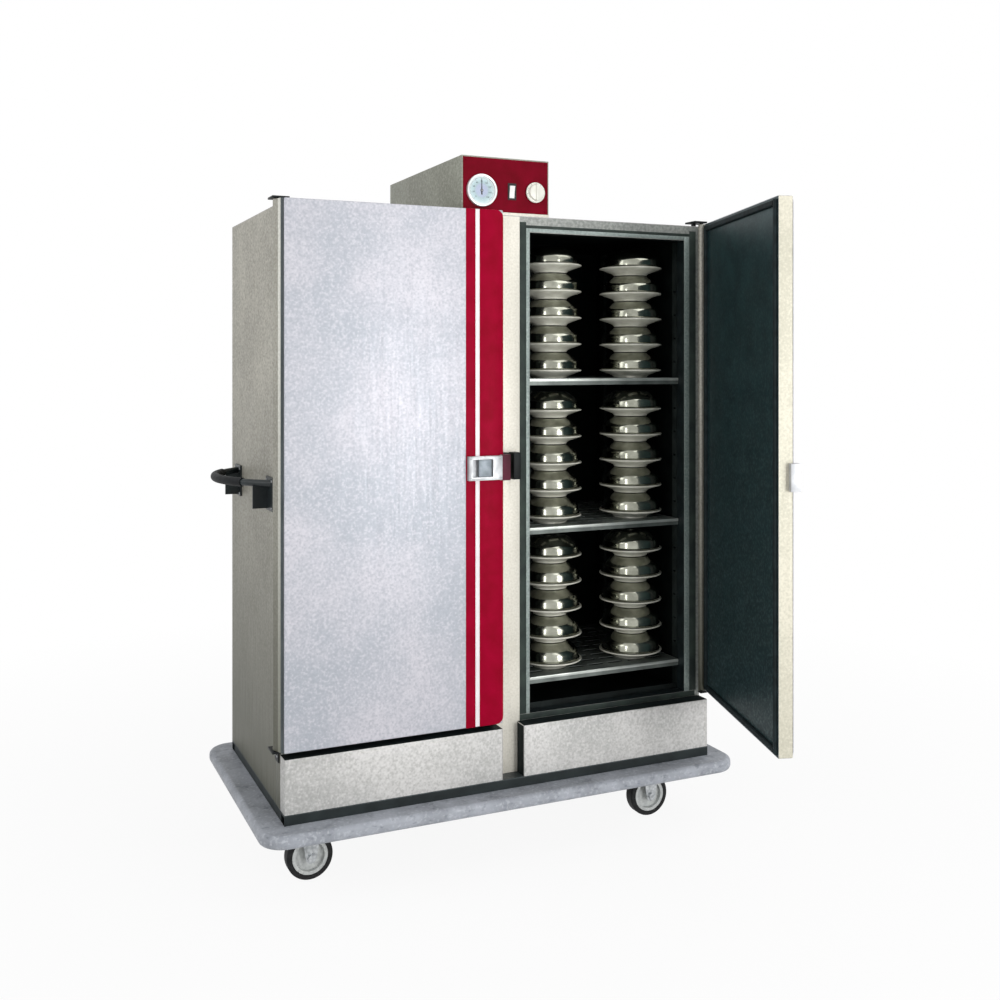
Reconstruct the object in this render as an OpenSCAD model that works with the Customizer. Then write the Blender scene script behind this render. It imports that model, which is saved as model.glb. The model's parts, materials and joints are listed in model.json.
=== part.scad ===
// Heated plate cabinet on casters: two insulated doors, three tiers of shelves in each
// bay, a heater and control box on the roof and a bumper round the base.
// Origin: on the floor below the middle of the body. +X to the right, +Y to the back, +Z up.

/* [Body] */
// Width of the body over its side panels
body_w = 1290; // [1200:10:1400]
// Depth of the body without the doors
body_d = 610; // [590:5:680]
// Height of the body over its base deck
body_h = 1570; // [1560:5:1650]
// Thickness of the insulated walls
wall_t = 38; // [30:1:45]
// Thickness of the sheet metal
sheet_t = 1.5; // [1:0.1:2]
// Width of the door jambs
jamb_w = 53; // [46:1:60]
// Height of the rail over the doors
header_h = 45; // [40:1:60]
// Width of the mullion between the doors
mullion_w = 144; // [130:1:150]
// Height of the floor of the bays over the deck
floor_h = 159; // [150:1:175]
// Height of the plinth panels
plinth_h = 142; // [120:1:142]
// Width of the air duct between the bays
duct_w = 122; // [100:1:128]

/* [Doors] */
// Width of the strip of mullion that shows between the doors
post_gap = 64.8; // [57:0.2:74]
// How far the doors reach over the roof
door_over = 7; // [0:0.5:10]
// Height of the doors' lower edge over the deck
door_lift = 157; // [150:1:165]
// Thickness of the door shell
door_shell_t = 38; // [30:1:44]
// Thickness of the door gasket
gasket_t = 7.7; // [5:0.1:10]
// Width of the door gasket
gasket_w = 16; // [10:1:20]
// How far the hinge pins stand outside the body
hinge_out = 10; // [10:0.5:14]
// Diameter of the hinge pins
hinge_pin_d = 10; // [6:0.5:12]
// Angle at which the right door stands open
open_angle = 72.7; // [0:0.1:107]
// Width of the wide accent strip
accent_w = 65; // [30:1:70]
// Width of the narrow accent strip
accent_thin_w = 25; // [10:1:40]
// Bare line between the two accent strips
accent_gap = 22; // [10:1:30]

/* [Latches] */
// Width of the latch plate on the door
latch_w = 99; // [90:1:110]
// Height of the latch plate
latch_h = 66; // [60:1:80]
// How far the latch stands out of the door face
latch_t = 16; // [15:0.5:22]
// Height of the latch centre over the floor
latch_z = 1098; // [1000:1:1200]
// Width of the pull paddle
paddle_w = 40; // [30:1:44]
// Width of the strikes on the mullion
strike_w = 22; // [14:1:23]

/* [Base and bumper] */
// Height of the base frame channels
frame_h = 69; // [60:1:80]
// Width of the flanges of the base frame channels
channel_flange = 35; // [30:1:45]
// Thickness of the base frame channels
channel_t = 4; // [3:0.5:6]
// Thickness of the deck
deck_t = 3; // [2:0.5:5]
// How far the bumper stands out
bumper_out = 68; // [50:1:80]
// Height of the bumper
bumper_h = 36; // [32:1:44]
// How far the top of the bumper lies below the deck
bumper_drop = 24; // [10:1:25]
// Radius of the bumper's nose edges
bumper_r = 14; // [8:1:16]

/* [Casters] */
// Overall height of the casters
caster_h = 160; // [158:1:170]
// Diameter of the wheels
wheel_d = 127; // [120:1:128]
// Width of the tyres
tyre_w = 36; // [28:1:38]
// Diameter of the axle bolts
axle_d = 12; // [10:0.5:14]
// Distance of the caster centres from the ends of the base
caster_inset_x = 128; // [125:1:170]
// Distance of the caster centres from the front and back of the base
caster_inset_y = 140; // [100:1:160]
// Trail of the swivel casters
caster_trail = 28; // [26:1:35]

/* [Shelves and plates] */
// Height of the lowest shelf over the floor
shelf_z1 = 483; // [470:1:500]
// Room between the top shelf and the ceiling
top_room = 421.5; // [405:0.5:440]
// Height of the turned-down edge of the shelves
shelf_lip = 19; // [12:1:24]
// Radius of the plates
plate_r = 96; // [90:1:108]
// Height that each covered plate adds to its stack
plate_pitch = 78; // [70:1:79]
// Distance between stacks across the bay
stack_dx = 280; // [268:1:290]

/* [Control box] */
// Width of the control box
box_w = 270; // [240:5:300]
// Height of the control box
box_h = 162; // [150:1:180]
// Radius of the thermometer
dial_r = 45; // [38:1:50]
// Radius of the thermostat knob
knob_r = 29; // [20:1:32]
// Radius of the bore of the cord gland
gland_r = 6; // [4:0.5:8]

/* [Push handle] */
// Length of the push handle between its ends
handle_l = 420; // [360:10:440]
// How far the bow of the handle stands off the side panel
handle_out = 105; // [90:1:120]
// Diameter of the handle tube
handle_d = 19; // [16:1:24]
// Height of the handle over the floor
handle_z = 1066; // [900:1:1150]

/* [Hidden] */
$fn = 48;

// Clearances
run_fit = 0.05;          // between a pin and its bore
seat_gap = 0.3;          // between faces that move past each other
joint_gap = 0.2;         // between members that butt against each other
trim_t = 1;              // thickness of the accent strips
door_t = door_shell_t + gasket_t + seat_gap;
door_split = post_gap / 2;        // half the gap between the doors
door_w = body_w / 2 - door_split;
door_h = body_h - door_lift + door_over;

// Main planes
frame_y = -body_d / 2;            // front of the door frame
face_y = frame_y - door_t;        // front of the doors, the plinth and the base
back_y = body_d / 2;
deck_z = caster_h + frame_h + deck_t;
roof_z = deck_z + body_h;
floor_z = deck_z + floor_h;
door_z = deck_z + door_lift;
base_d = back_y - face_y;
inner_x = body_w / 2 - wall_t;    // back of the side liners
rail_back_y = frame_y + wall_t;   // back of the door frame
liner_x = inner_x - sheet_t;
liner_y = back_y - wall_t - sheet_t;
ceiling_z = roof_z - wall_t - sheet_t;
duct_x = duct_w / 2;

// Caster centres, left to right and front to back
caster_x = body_w / 2 - caster_inset_x;
caster_y = [face_y + caster_inset_y, back_y - caster_inset_y];
wheel_z = wheel_d / 2;
hub_r = 49;
boss_w = 44;
leg_gap = boss_w + 4;             // between the fork's legs
leg_t = 4;
plate_w = 100;                    // caster top plate
plate_d = 86;
plate_t = 5;
race_r = 34;
crown_t = 6;
crown_z = wheel_d + 3;            // underside of the fork's crown
kingpin_d = 16;
bolt_x = 38;                      // bolts of the caster plate
bolt_y = 31;
bolt_d = 10;
seat_side = 5;                    // margin of the frame's seats round the top plates
seat_end = 10;
eye_w = 9;                        // wall of the fork's eye round the axle
shoulder_h = 14;                  // straight part of the legs under the crown
crown_tail = 24;                  // fork's crown behind the axle
race_t = 5;                       // lower race over the crown
rivet_t = 4;
nut_t = 6;
rigid_leg_x = bolt_x - 10;        // half width of the rigid legs, clear of the bolt heads

// A rectangle from two corners
module slab(x0, x1, y0, y1, z0, z1) {
    translate([x0, y0, z0])
        cube([x1 - x0, y1 - y0, z1 - z0]);
}

// A box from two corners and its mirror image across the middle of the cabinet
module twin_slab(x0, x1, y0, y1, z0, z1) {
    slab(x0, x1, y0, y1, z0, z1);
    slab(-x1, -x0, y0, y1, z0, z1);
}

// ---------------------------------------------------------------- base

// Channel section with its web at u = 0 and its mouth towards +u
module channel_section() {
    difference() {
        square([channel_flange, frame_h]);
        translate([channel_t, channel_t])
            square([channel_flange, frame_h - 2 * channel_t]);
    }
}

// Channel of length l along +Y with its mouth towards +X
module channel(l) {
    translate([0, l, 0])
        rotate([90, 0, 0])
            linear_extrude(l)
                channel_section();
}

module corner_plate() {
    edge = channel_flange + joint_gap;
    plate_x = caster_inset_x + plate_w / 2 + seat_side - edge;
    plate_y = caster_inset_y + plate_d / 2 + seat_end - edge;
    difference() {
        translate([edge, edge, 0])
            cube([plate_x, plate_y, channel_t]);
        translate([caster_inset_x, caster_inset_y, 0])
            bolt_holes(channel_t);
    }
}

module bolt_holes(t) {
    for (x = [-bolt_x, bolt_x])
        for (y = [-bolt_y, bolt_y])
            translate([x, y, -1])
                cylinder(d = bolt_d + 1, h = t + 2);
}

// Welded channels: front, back and end rails, three cross members and the caster plates' seats
module base_frame() {
    cross_x = caster_x - plate_w / 2 - seat_side - joint_gap;
    cross_y = face_y + channel_flange + joint_gap;
    cross_l = base_d - 2 * channel_flange - 2 * joint_gap;
    color("#8E9094")
        translate([0, 0, caster_h]) {
            for (s = [0, 1])
                mirror([s, 0, 0]) {
                    translate([-body_w / 2, cross_y, 0])
                        channel(cross_l);
                    translate([-cross_x, cross_y, 0])
                        channel(cross_l);
                    translate([-body_w / 2, face_y, 0])
                        corner_plate();
                    translate([-body_w / 2, back_y, 0])
                        mirror([0, 1, 0])
                            corner_plate();
                }
            translate([-channel_flange / 2, cross_y, 0])
                channel(cross_l);
            translate([body_w / 2, face_y, 0])
                rotate([0, 0, 90])
                    channel(body_w);
            translate([-body_w / 2, back_y, 0])
                rotate([0, 0, -90])
                    channel(body_w);
        }
}

module base_deck() {
    color("#A9A8AE")
        slab(-body_w / 2, body_w / 2, face_y, back_y, deck_z - deck_t, deck_z);
}

// Bumper section: u outwards, v up, with two round nose edges
module bumper_section() {
    square([bumper_out - bumper_r, bumper_h]);
    translate([0, bumper_r])
        square([bumper_out, bumper_h - 2 * bumper_r]);
    for (v = [bumper_r, bumper_h - bumper_r])
        translate([bumper_out - bumper_r, v])
            circle(bumper_r);
}

module bumper_corner() {
    rotate_extrude(angle = 90)
        bumper_section();
}

module bumper_strip(l) {
    translate([joint_gap, 0, 0])
        rotate([90, 0, 90])
            linear_extrude(l - 2 * joint_gap)
                bumper_section();
}

// Four extruded strips and four moulded corners round the base
module bumper() {
    z = deck_z - deck_t - bumper_drop - bumper_h;
    color("#9D9CA8")
        translate([0, 0, z]) {
            translate([body_w / 2, face_y, 0])
                rotate([0, 0, 180])
                    bumper_strip(body_w);
            translate([-body_w / 2, back_y, 0])
                bumper_strip(body_w);
            translate([body_w / 2, back_y, 0])
                rotate([0, 0, -90])
                    bumper_strip(base_d);
            translate([-body_w / 2, face_y, 0])
                rotate([0, 0, 90])
                    bumper_strip(base_d);
            translate([body_w / 2, back_y, 0])
                bumper_corner();
            translate([-body_w / 2, back_y, 0])
                rotate([0, 0, 90])
                    bumper_corner();
            translate([-body_w / 2, face_y, 0])
                rotate([0, 0, 180])
                    bumper_corner();
            translate([body_w / 2, face_y, 0])
                rotate([0, 0, 270])
                    bumper_corner();
        }
}

// ---------------------------------------------------------------- casters

module top_plate() {
    difference() {
        translate([-plate_w / 2, -plate_d / 2, caster_h - plate_t])
            cube([plate_w, plate_d, plate_t]);
        translate([0, 0, caster_h - plate_t])
            bolt_holes(plate_t);
    }
}

// Top plates of the swivel casters with the upper race and the riveted kingpin
module caster_plates() {
    race_z = crown_z + crown_t + race_t + seat_gap;
    rivet_z = crown_z - seat_gap - rivet_t;
    color("#B4B6B8")
        for (y = caster_y)
            translate([-caster_x, y, 0]) {
                top_plate();
                translate([0, 0, race_z])
                    cylinder(r = race_r, h = caster_h - plate_t - race_z);
                translate([0, 0, rivet_z]) {
                    cylinder(d = kingpin_d, h = caster_h - plate_t - rivet_z);
                    cylinder(d = kingpin_d + 10, h = rivet_t);
                }
            }
}

// One leg of a fork in the XZ plane: wide under the crown, round at the axle
module leg_outline(x0, x1, top_z) {
    end_r = axle_d / 2 + eye_w;
    difference() {
        union() {
            polygon([[x0, top_z], [x1, top_z], [x1, top_z - shoulder_h], [end_r, wheel_z],
                [-end_r, wheel_z], [x0, top_z - shoulder_h]]);
            translate([0, wheel_z])
                circle(end_r);
        }
        translate([0, wheel_z])
            circle(d = axle_d + 2 * run_fit);
    }
}

module legs(x0, x1, top_z) {
    for (y = [-leg_gap / 2, leg_gap / 2 + leg_t])
        translate([0, y, 0])
            rotate([90, 0, 0])
                linear_extrude(leg_t)
                    leg_outline(x0, x1, top_z);
}

// Axle bolt along Y with its hexagon head and nut
module axle_bolt() {
    span = leg_gap + 2 * leg_t + 2 * joint_gap;
    head_t = 7;
    translate([0, span / 2 + head_t, wheel_z])
        rotate([90, 0, 0]) {
            cylinder(d = axle_d, h = span + 2 * head_t);
            cylinder(d = axle_d + 9, h = head_t, $fn = 6);
            translate([0, 0, span + head_t])
                cylinder(d = axle_d + 9, h = head_t, $fn = 6);
        }
}

// Swivel fork about a kingpin at the origin; the axle trails to the left
module swivel_fork(y) {
    crown_back = caster_trail + crown_tail;
    color("#B9BABC")
        translate([-caster_x, y, 0]) {
            difference() {
                union() {
                    translate([-crown_back, -leg_gap / 2 - leg_t, crown_z])
                        cube([crown_back, leg_gap + 2 * leg_t, crown_t]);
                    translate([0, 0, crown_z])
                        cylinder(r = race_r, h = crown_t + race_t);
                    translate([-caster_trail, 0, 0])
                        legs(-crown_tail, caster_trail, crown_z + crown_t);
                }
                translate([0, 0, crown_z - 1])
                    cylinder(d = kingpin_d + 2 * run_fit, h = crown_t + race_t + 2);
            }
            translate([-caster_trail, 0, 0])
                axle_bolt();
        }
}

module front_swivel_fork() {
    swivel_fork(caster_y[0]);
}

module rear_swivel_fork() {
    swivel_fork(caster_y[1]);
}

// Rigid casters at the other end: the legs are welded to the top plate
module rigid_forks() {
    color("#B9BABC")
        for (y = caster_y)
            translate([caster_x, y, 0]) {
                top_plate();
                legs(-rigid_leg_x, rigid_leg_x, caster_h - plate_t);
                axle_bolt();
            }
}

// Tyre section: r outwards, v along the axle, with round shoulders
module tyre_section() {
    shoulder_r = 6;
    depth = wheel_d / 2 - hub_r;
    translate([hub_r, -tyre_w / 2])
        square([depth - shoulder_r, tyre_w]);
    translate([hub_r, -tyre_w / 2 + shoulder_r])
        square([depth, tyre_w - 2 * shoulder_r]);
    for (v = [-1, 1])
        translate([wheel_d / 2 - shoulder_r, v * (tyre_w / 2 - shoulder_r)])
            circle(shoulder_r);
}

module tyre(x, y) {
    color("#1C1C1E")
        translate([x, y, wheel_z])
            rotate([90, 0, 0])
                rotate_extrude()
                    tyre_section();
}

// Hub: boss on the axle, thin web and rim under the tyre
module hub(x, y) {
    boss_r = axle_d / 2 + 8;
    web_w = 10;
    rim_in = hub_r - 9;
    rim_w = tyre_w - 2;
    color("#C9CACC")
        translate([x, y, wheel_z])
            rotate([90, 0, 0])
                rotate_extrude() {
                    translate([axle_d / 2 + run_fit, -boss_w / 2])
                        square([boss_r - axle_d / 2 - run_fit, boss_w]);
                    translate([boss_r - 1, -web_w / 2])
                        square([rim_in - boss_r + 2, web_w]);
                    translate([rim_in, -rim_w / 2])
                        square([hub_r - rim_in, rim_w]);
                }
}

module front_left_tyre() {
    tyre(-caster_x - caster_trail, caster_y[0]);
}

module rear_left_tyre() {
    tyre(-caster_x - caster_trail, caster_y[1]);
}

module front_right_tyre() {
    tyre(caster_x, caster_y[0]);
}

module rear_right_tyre() {
    tyre(caster_x, caster_y[1]);
}

module front_left_hub() {
    hub(-caster_x - caster_trail, caster_y[0]);
}

module rear_left_hub() {
    hub(-caster_x - caster_trail, caster_y[1]);
}

module front_right_hub() {
    hub(caster_x, caster_y[0]);
}

module rear_right_hub() {
    hub(caster_x, caster_y[1]);
}

// Bolts through the caster plates and the frame: head below, nut above
module frame_bolts() {
    color("#9FA1A4")
        for (cx = [-caster_x, caster_x])
            for (cy = caster_y)
                for (x = [-bolt_x, bolt_x])
                    for (y = [-bolt_y, bolt_y])
                        translate([cx + x, cy + y, caster_h - plate_t - nut_t]) {
                            cylinder(d = bolt_d, h = 2 * nut_t + plate_t + channel_t + 3);
                            cylinder(d = bolt_d + 6, h = nut_t, $fn = 6);
                            translate([0, 0, nut_t + plate_t + channel_t])
                                cylinder(d = bolt_d + 6, h = nut_t, $fn = 6);
                        }
}

// ---------------------------------------------------------------- body

// Folded side sheets with a flange turned in under the roof and behind the back
module side_panels() {
    flange = 12;
    x1 = body_w / 2;
    color("#A5A296")
        for (s = [0, 1])
            mirror([s, 0, 0]) {
                slab(x1 - sheet_t, x1, frame_y, back_y - sheet_t, deck_z, roof_z - sheet_t);
                slab(x1 - flange, x1 - sheet_t, rail_back_y, back_y - 2 * sheet_t,
                    roof_z - 2 * sheet_t, roof_z - sheet_t);
            }
}

module back_panel() {
    color("#A5A296")
        slab(-body_w / 2, body_w / 2, back_y - sheet_t, back_y, deck_z, roof_z - sheet_t);
}

airway_y = [frame_y + 245, back_y - 125];
airway_edge = 20;                 // margin of the return air ways to the duct and the roof box
supply_w = 48;                    // width of the supply air way, between the heater's feet

// Air ways through the roof: supply over the duct and one return on each side of it
module roof_airways(z0, z1) {
    slab(-supply_w / 2, supply_w / 2, airway_y[0], airway_y[1], z0, z1);
    twin_slab(duct_x + airway_edge, box_w / 2 - airway_edge, airway_y[0], airway_y[1], z0, z1);
}

module top_panel() {
    color("#B3B1B4")
        difference() {
            slab(-body_w / 2, body_w / 2, frame_y, back_y, roof_z - sheet_t, roof_z);
            roof_airways(roof_z - sheet_t - 1, roof_z + 1);
        }
}

// Rectangular tube of size [w, d, h] from the origin, open along the axis n (0 = X, 2 = Z)
module rect_tube(size, n) {
    t = sheet_t;
    inner = [for (i = [0:2]) i == n ? size[i] + 2 : size[i] - 2 * t];
    shift = [for (i = [0:2]) i == n ? -1 : t];
    difference() {
        cube(size);
        translate(shift)
            cube(inner);
    }
}

// Door frame: header, sill, two jambs and the mullion
module frame_rails() {
    inside = body_w - 2 * sheet_t;
    post_z = floor_z + joint_gap;
    post_h = roof_z - header_h - joint_gap - post_z;
    color("#CFCED6") {
        translate([-inside / 2, frame_y, roof_z - header_h])
            rect_tube([inside, wall_t, header_h - sheet_t], 0);
        translate([-inside / 2, frame_y, deck_z])
            rect_tube([inside, wall_t, floor_h], 0);
        translate([-inside / 2, frame_y, post_z])
            rect_tube([jamb_w - sheet_t, wall_t, post_h], 2);
        translate([inside / 2 - jamb_w + sheet_t, frame_y, post_z])
            rect_tube([jamb_w - sheet_t, wall_t, post_h], 2);
        translate([-mullion_w / 2, frame_y, post_z])
            rect_tube([mullion_w, wall_t, post_h], 2);
    }
}

// Kick panels below the doors, folded back to the sill
module plinth_panels() {
    color("#C9C8CE")
        for (s = [0, 1])
            mirror([s, 0, 0])
                translate([-body_w / 2, face_y, deck_z])
                    difference() {
                        cube([door_w, door_t, plinth_h]);
                        translate([sheet_t, sheet_t, -1])
                            cube([door_w - 2 * sheet_t, door_t, plinth_h - sheet_t + 1]);
                    }
}

// Insulation slabs: sides, back, roof and floor
module wall_insulation() {
    x0 = inner_x + joint_gap;
    x1 = body_w / 2 - sheet_t;
    y0 = liner_y + sheet_t;
    y1 = back_y - sheet_t;
    z0 = floor_z - wall_t;
    z1 = roof_z - sheet_t;
    color("#D9C36A") {
        twin_slab(x0, x1, rail_back_y, y0, z0, ceiling_z + sheet_t);
        slab(-inner_x, inner_x, y0 + joint_gap, y1, z0, z1);
        difference() {
            slab(-inner_x, inner_x, rail_back_y, y0, ceiling_z + sheet_t, z1);
            roof_airways(ceiling_z, z1 + 1);
        }
        slab(-inner_x, inner_x, rail_back_y, y0, z0, floor_z - sheet_t);
    }
}

lip_h = 17;                       // raised front lip of the floor
lip_in = 12;

// Stainless lining of the bays: two sides, back, ceiling and a floor with a raised front lip
module bay_liners() {
    z0 = floor_z + joint_gap;
    z1 = ceiling_z - joint_gap;
    color("#3A4444") {
        twin_slab(liner_x, inner_x, rail_back_y, liner_y - joint_gap, z0, z1);
        slab(-inner_x, inner_x, liner_y, liner_y + sheet_t, z0, z1);
        difference() {
            slab(-inner_x, inner_x, rail_back_y, liner_y + sheet_t, ceiling_z, ceiling_z + sheet_t);
            roof_airways(ceiling_z - 1, ceiling_z + sheet_t + 1);
        }
        slab(-inner_x, inner_x, rail_back_y, liner_y + sheet_t, floor_z - sheet_t, floor_z);
        for (s = [0, 1])
            mirror([s, 0, 0])
                slab(duct_x + lip_in, liner_x - lip_in, rail_back_y, rail_back_y + sheet_t,
                    floor_z, floor_z + lip_h);
    }
}

duct_rows = 8;
duct_edge = 100;                  // first and last row from the floor and the ceiling
duct_slot_h = 8;
duct_slot_l = 60;
duct_slot_pitch = 120;

// Upright duct between the bays with rows of slots on both sides
module air_duct() {
    row_pitch = (ceiling_z - floor_z - 2 * duct_edge) / (duct_rows - 1);
    mid_y = (rail_back_y + liner_y) / 2;
    color("#4A5252")
        difference() {
            slab(-duct_x, duct_x, rail_back_y, liner_y, floor_z, ceiling_z);
            slab(-duct_x + sheet_t, duct_x - sheet_t, rail_back_y + sheet_t, liner_y - sheet_t,
                floor_z + sheet_t, ceiling_z + 1);
            for (k = [0:duct_rows - 1])
                for (j = [-1:1])
                    translate([-duct_x - 1, mid_y + j * duct_slot_pitch - duct_slot_l / 2,
                            floor_z + duct_edge + k * row_pitch])
                        cube([2 * duct_x + 2, duct_slot_l, duct_slot_h]);
        }
}

// ---------------------------------------------------------------- shelves and plates

tiers = 3;
shelf_pitch = (ceiling_z - top_room - shelf_z1) / (tiers - 1);
upright_t = 10;
upright_w = 25;
upright_y = [rail_back_y + 20, liner_y - 65];
upright_end = 6;                  // clearance of the uprights to the floor and the ceiling
slot_pitch = shelf_pitch / 6;
slot_z = 6;
slot_w = 14;
shelf_front = frame_y + 30;
shelf_back = liner_y - 25;
air_slot_w = 50;                  // air slots of the shelves
air_slot_d = 14;
air_margin = 25;
clip_reach = 12;
clip_t = 4;
shelf_x0 = max(duct_x + upright_t, mullion_w / 2) + 1;
shelf_x1 = min(liner_x - upright_t, body_w / 2 - jamb_w) - 1;
clip_drop = shelf_lip + 4;        // slot below the shelf that the clip hooks into

// Slotted channel with its back at x = 0 and its face at x = upright_t
module upright() {
    z0 = floor_z + upright_end;
    z1 = ceiling_z - upright_end;
    below = floor((shelf_z1 - clip_drop - z0) / slot_pitch);
    above = floor((z1 - shelf_z1) / slot_pitch);
    difference() {
        translate([0, -upright_w / 2, z0])
            cube([upright_t, upright_w, z1 - z0]);
        translate([-1, -upright_w / 2 + 2, z0 - 1])
            cube([upright_t - 1, upright_w - 4, z1 - z0 + 2]);
        for (k = [-below:above - 1])
            translate([0, -slot_w / 2, shelf_z1 - clip_drop + k * slot_pitch - slot_z / 2])
                cube([upright_t + 1, slot_w, slot_z]);
    }
}

// Places a child at each upright of both bays, facing into the bay
module at_uprights() {
    for (s = [0, 1])
        mirror([s, 0, 0])
            for (y = upright_y) {
                translate([duct_x, y, 0])
                    children();
                translate([liner_x, y, 0])
                    mirror([1, 0, 0])
                        children();
            }
}

module shelf_uprights() {
    color("#7D8484")
        at_uprights()
            upright();
}

// Bent clip: a hook through a slot of the upright and a tongue under the shelf's edge
module clip(z) {
    hook_y = slot_w - 2;
    translate([0, hook_y / 2, z - shelf_lip])
        rotate([90, 0, 0])
            linear_extrude(hook_y)
                polygon([[upright_t - 4, -clip_t - 1.5], [upright_t + clip_reach, -clip_t - 1.5],
                    [upright_t + clip_reach, 0], [upright_t, 0], [upright_t, -1.5],
                    [upright_t - 4, -1.5]]);
}

module shelf_clips() {
    color("#C4C6C8")
        at_uprights()
            for (k = [0:tiers - 1])
                clip(shelf_z1 + k * shelf_pitch);
}

// Sheet shelf with turned-down edges and rows of air slots
module shelf() {
    w = shelf_x1 - shelf_x0;
    d = shelf_back - shelf_front;
    cols = 7;
    rows = 9;
    step_x = (w - 2 * air_margin) / cols;
    step_y = (d - 2 * air_margin) / rows;
    difference() {
        cube([w, d, shelf_lip]);
        translate([sheet_t, sheet_t, -1])
            cube([w - 2 * sheet_t, d - 2 * sheet_t, shelf_lip - sheet_t + 1]);
        translate([0, 0, shelf_lip - sheet_t - 1])
            linear_extrude(sheet_t + 2)
                for (i = [0:cols - 1])
                    for (j = [0:rows - 1])
                        translate([air_margin + (i + 0.5) * step_x, air_margin + (j + 0.5) * step_y])
                            square([air_slot_w, air_slot_d], center = true);
    }
}

module shelves() {
    color("#8B9292")
        for (s = [0, 1])
            mirror([s, 0, 0])
                for (k = [0:tiers - 1])
                    translate([shelf_x0, shelf_front, shelf_z1 + k * shelf_pitch - shelf_lip])
                        shelf();
}

// Outline of one covered plate: foot, well, rim, then the cover up to its flat crown
function covered_plate(z) = [
    [plate_r - 48, z], [plate_r - 44, z], [plate_r - 40, z + 6], [plate_r - 16, z + 16], [plate_r, z + 21], [plate_r, z + 24],
    [plate_r - 8, z + 26], [plate_r - 9, z + 30], [plate_r - 12, z + 44], [plate_r - 20, z + 58],
    [plate_r - 34, z + plate_pitch - 8], [plate_r - 40, z + plate_pitch - 4],
    [plate_r - 48, z + plate_pitch - 2]
];

stack_room = 10;                  // least clearance over a stack
plates_high = floor((min(shelf_pitch - shelf_lip, top_room) - stack_room) / plate_pitch);
stack_shift = 8;                  // stacks stand a little nearer the outer side of the bay

// One stack of covered plates, each foot on the cover below it
module stack() {
    outline = [for (k = [0:plates_high - 1]) for (p = covered_plate(k * plate_pitch)) p];
    top = plates_high * plate_pitch - 2;
    rotate_extrude()
        polygon(concat([[0, 2], [plate_r - 50, 2]], outline, [[0, top]]));
}

// Two stacks side by side at the front of each shelf of the right-hand bay
module plate_stacks() {
    mid_x = (shelf_x0 + shelf_x1) / 2 + stack_shift;
    first_y = shelf_front + plate_r + 2;
    color("#D8D6C6")
        for (k = [0:tiers - 1])
            for (i = [-0.5, 0.5])
                translate([mid_x + i * stack_dx, first_y, shelf_z1 + k * shelf_pitch])
                    stack();
}

// ---------------------------------------------------------------- doors

hinge_back = 1;                   // hinge pin behind the front of the frame
pin_x = -hinge_out;               // hinge pin in door coordinates
pin_y = door_t + hinge_back;
knuckle_r = hinge_pin_d / 2 + 4;
knuckle_h = 30;                   // length of the knuckle round each pin
right_pin = [body_w / 2 + hinge_out, frame_y + hinge_back, 0];

// Door coordinates: x from the hinge edge to the free edge, y from the face to the frame
module on_left_door() {
    translate([-body_w / 2, face_y, 0])
        children();
}

module on_right_door() {
    translate(right_pin)
        rotate([0, 0, open_angle])
            translate(-right_pin)
                translate([body_w / 2, face_y, 0])
                    mirror([1, 0, 0])
                        children();
}

// Outer pan with its four edges folded back
module door_pan() {
    color("#D7D5DC")
        difference() {
            translate([0, 0, door_z])
                cube([door_w, door_shell_t, door_h]);
            translate([sheet_t, sheet_t, door_z + sheet_t])
                cube([door_w - 2 * sheet_t, door_shell_t, door_h - 2 * sheet_t]);
        }
}

module door_insulation() {
    color("#D9C36A")
        translate([sheet_t, sheet_t, door_z + sheet_t])
            cube([door_w - 2 * sheet_t, door_shell_t - 2 * sheet_t, door_h - 2 * sheet_t]);
}

// Inner sheet, let in between the edges of the pan
module door_liner() {
    color("#2C3A3E")
        translate([sheet_t, door_shell_t - sheet_t, door_z + sheet_t])
            cube([door_w - 2 * sheet_t, sheet_t, door_h - 2 * sheet_t]);
}

// Four gasket strips round the inner face, with a rounded bulb
module gasket_strip(l) {
    bulb_r = gasket_t / 2;
    linear_extrude(l) {
        square([gasket_w, gasket_t - bulb_r]);
        translate([bulb_r, 0])
            square([gasket_w - 2 * bulb_r, gasket_t]);
        for (x = [bulb_r, gasket_w - bulb_r])
            translate([x, gasket_t - bulb_r])
                circle(bulb_r);
    }
}

module door_gasket() {
    edge = 8;
    z0 = door_z + edge;
    z1 = door_z + door_h - edge;
    across = door_w - 2 * edge - 2 * gasket_w - 2 * joint_gap;
    color("#3C3F42")
        translate([0, door_shell_t, 0]) {
            translate([edge, 0, z0])
                gasket_strip(z1 - z0);
            translate([door_w - edge - gasket_w, 0, z0])
                gasket_strip(z1 - z0);
            for (z = [z0 + gasket_w, z1])
                translate([edge + gasket_w + joint_gap, 0, z])
                    rotate([0, 90, 0])
                        gasket_strip(across);
        }
}

// Accent strips on the door face: a wide one with round outer corners and a narrow one
module door_trim() {
    corner_r = 20;
    color("#A0002E")
        translate([0, 0, door_z])
            rotate([90, 0, 0])
                linear_extrude(trim_t) {
                    translate([door_w - accent_w, 0])
                        square([accent_w - corner_r, door_h]);
                    translate([door_w - accent_w, corner_r])
                        square([accent_w, door_h - 2 * corner_r]);
                    for (z = [corner_r, door_h - corner_r])
                        translate([door_w - corner_r, z])
                            circle(corner_r);
                    translate([door_w - accent_w - accent_gap - accent_thin_w, 0])
                        square([accent_thin_w, door_h]);
                }
}

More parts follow.
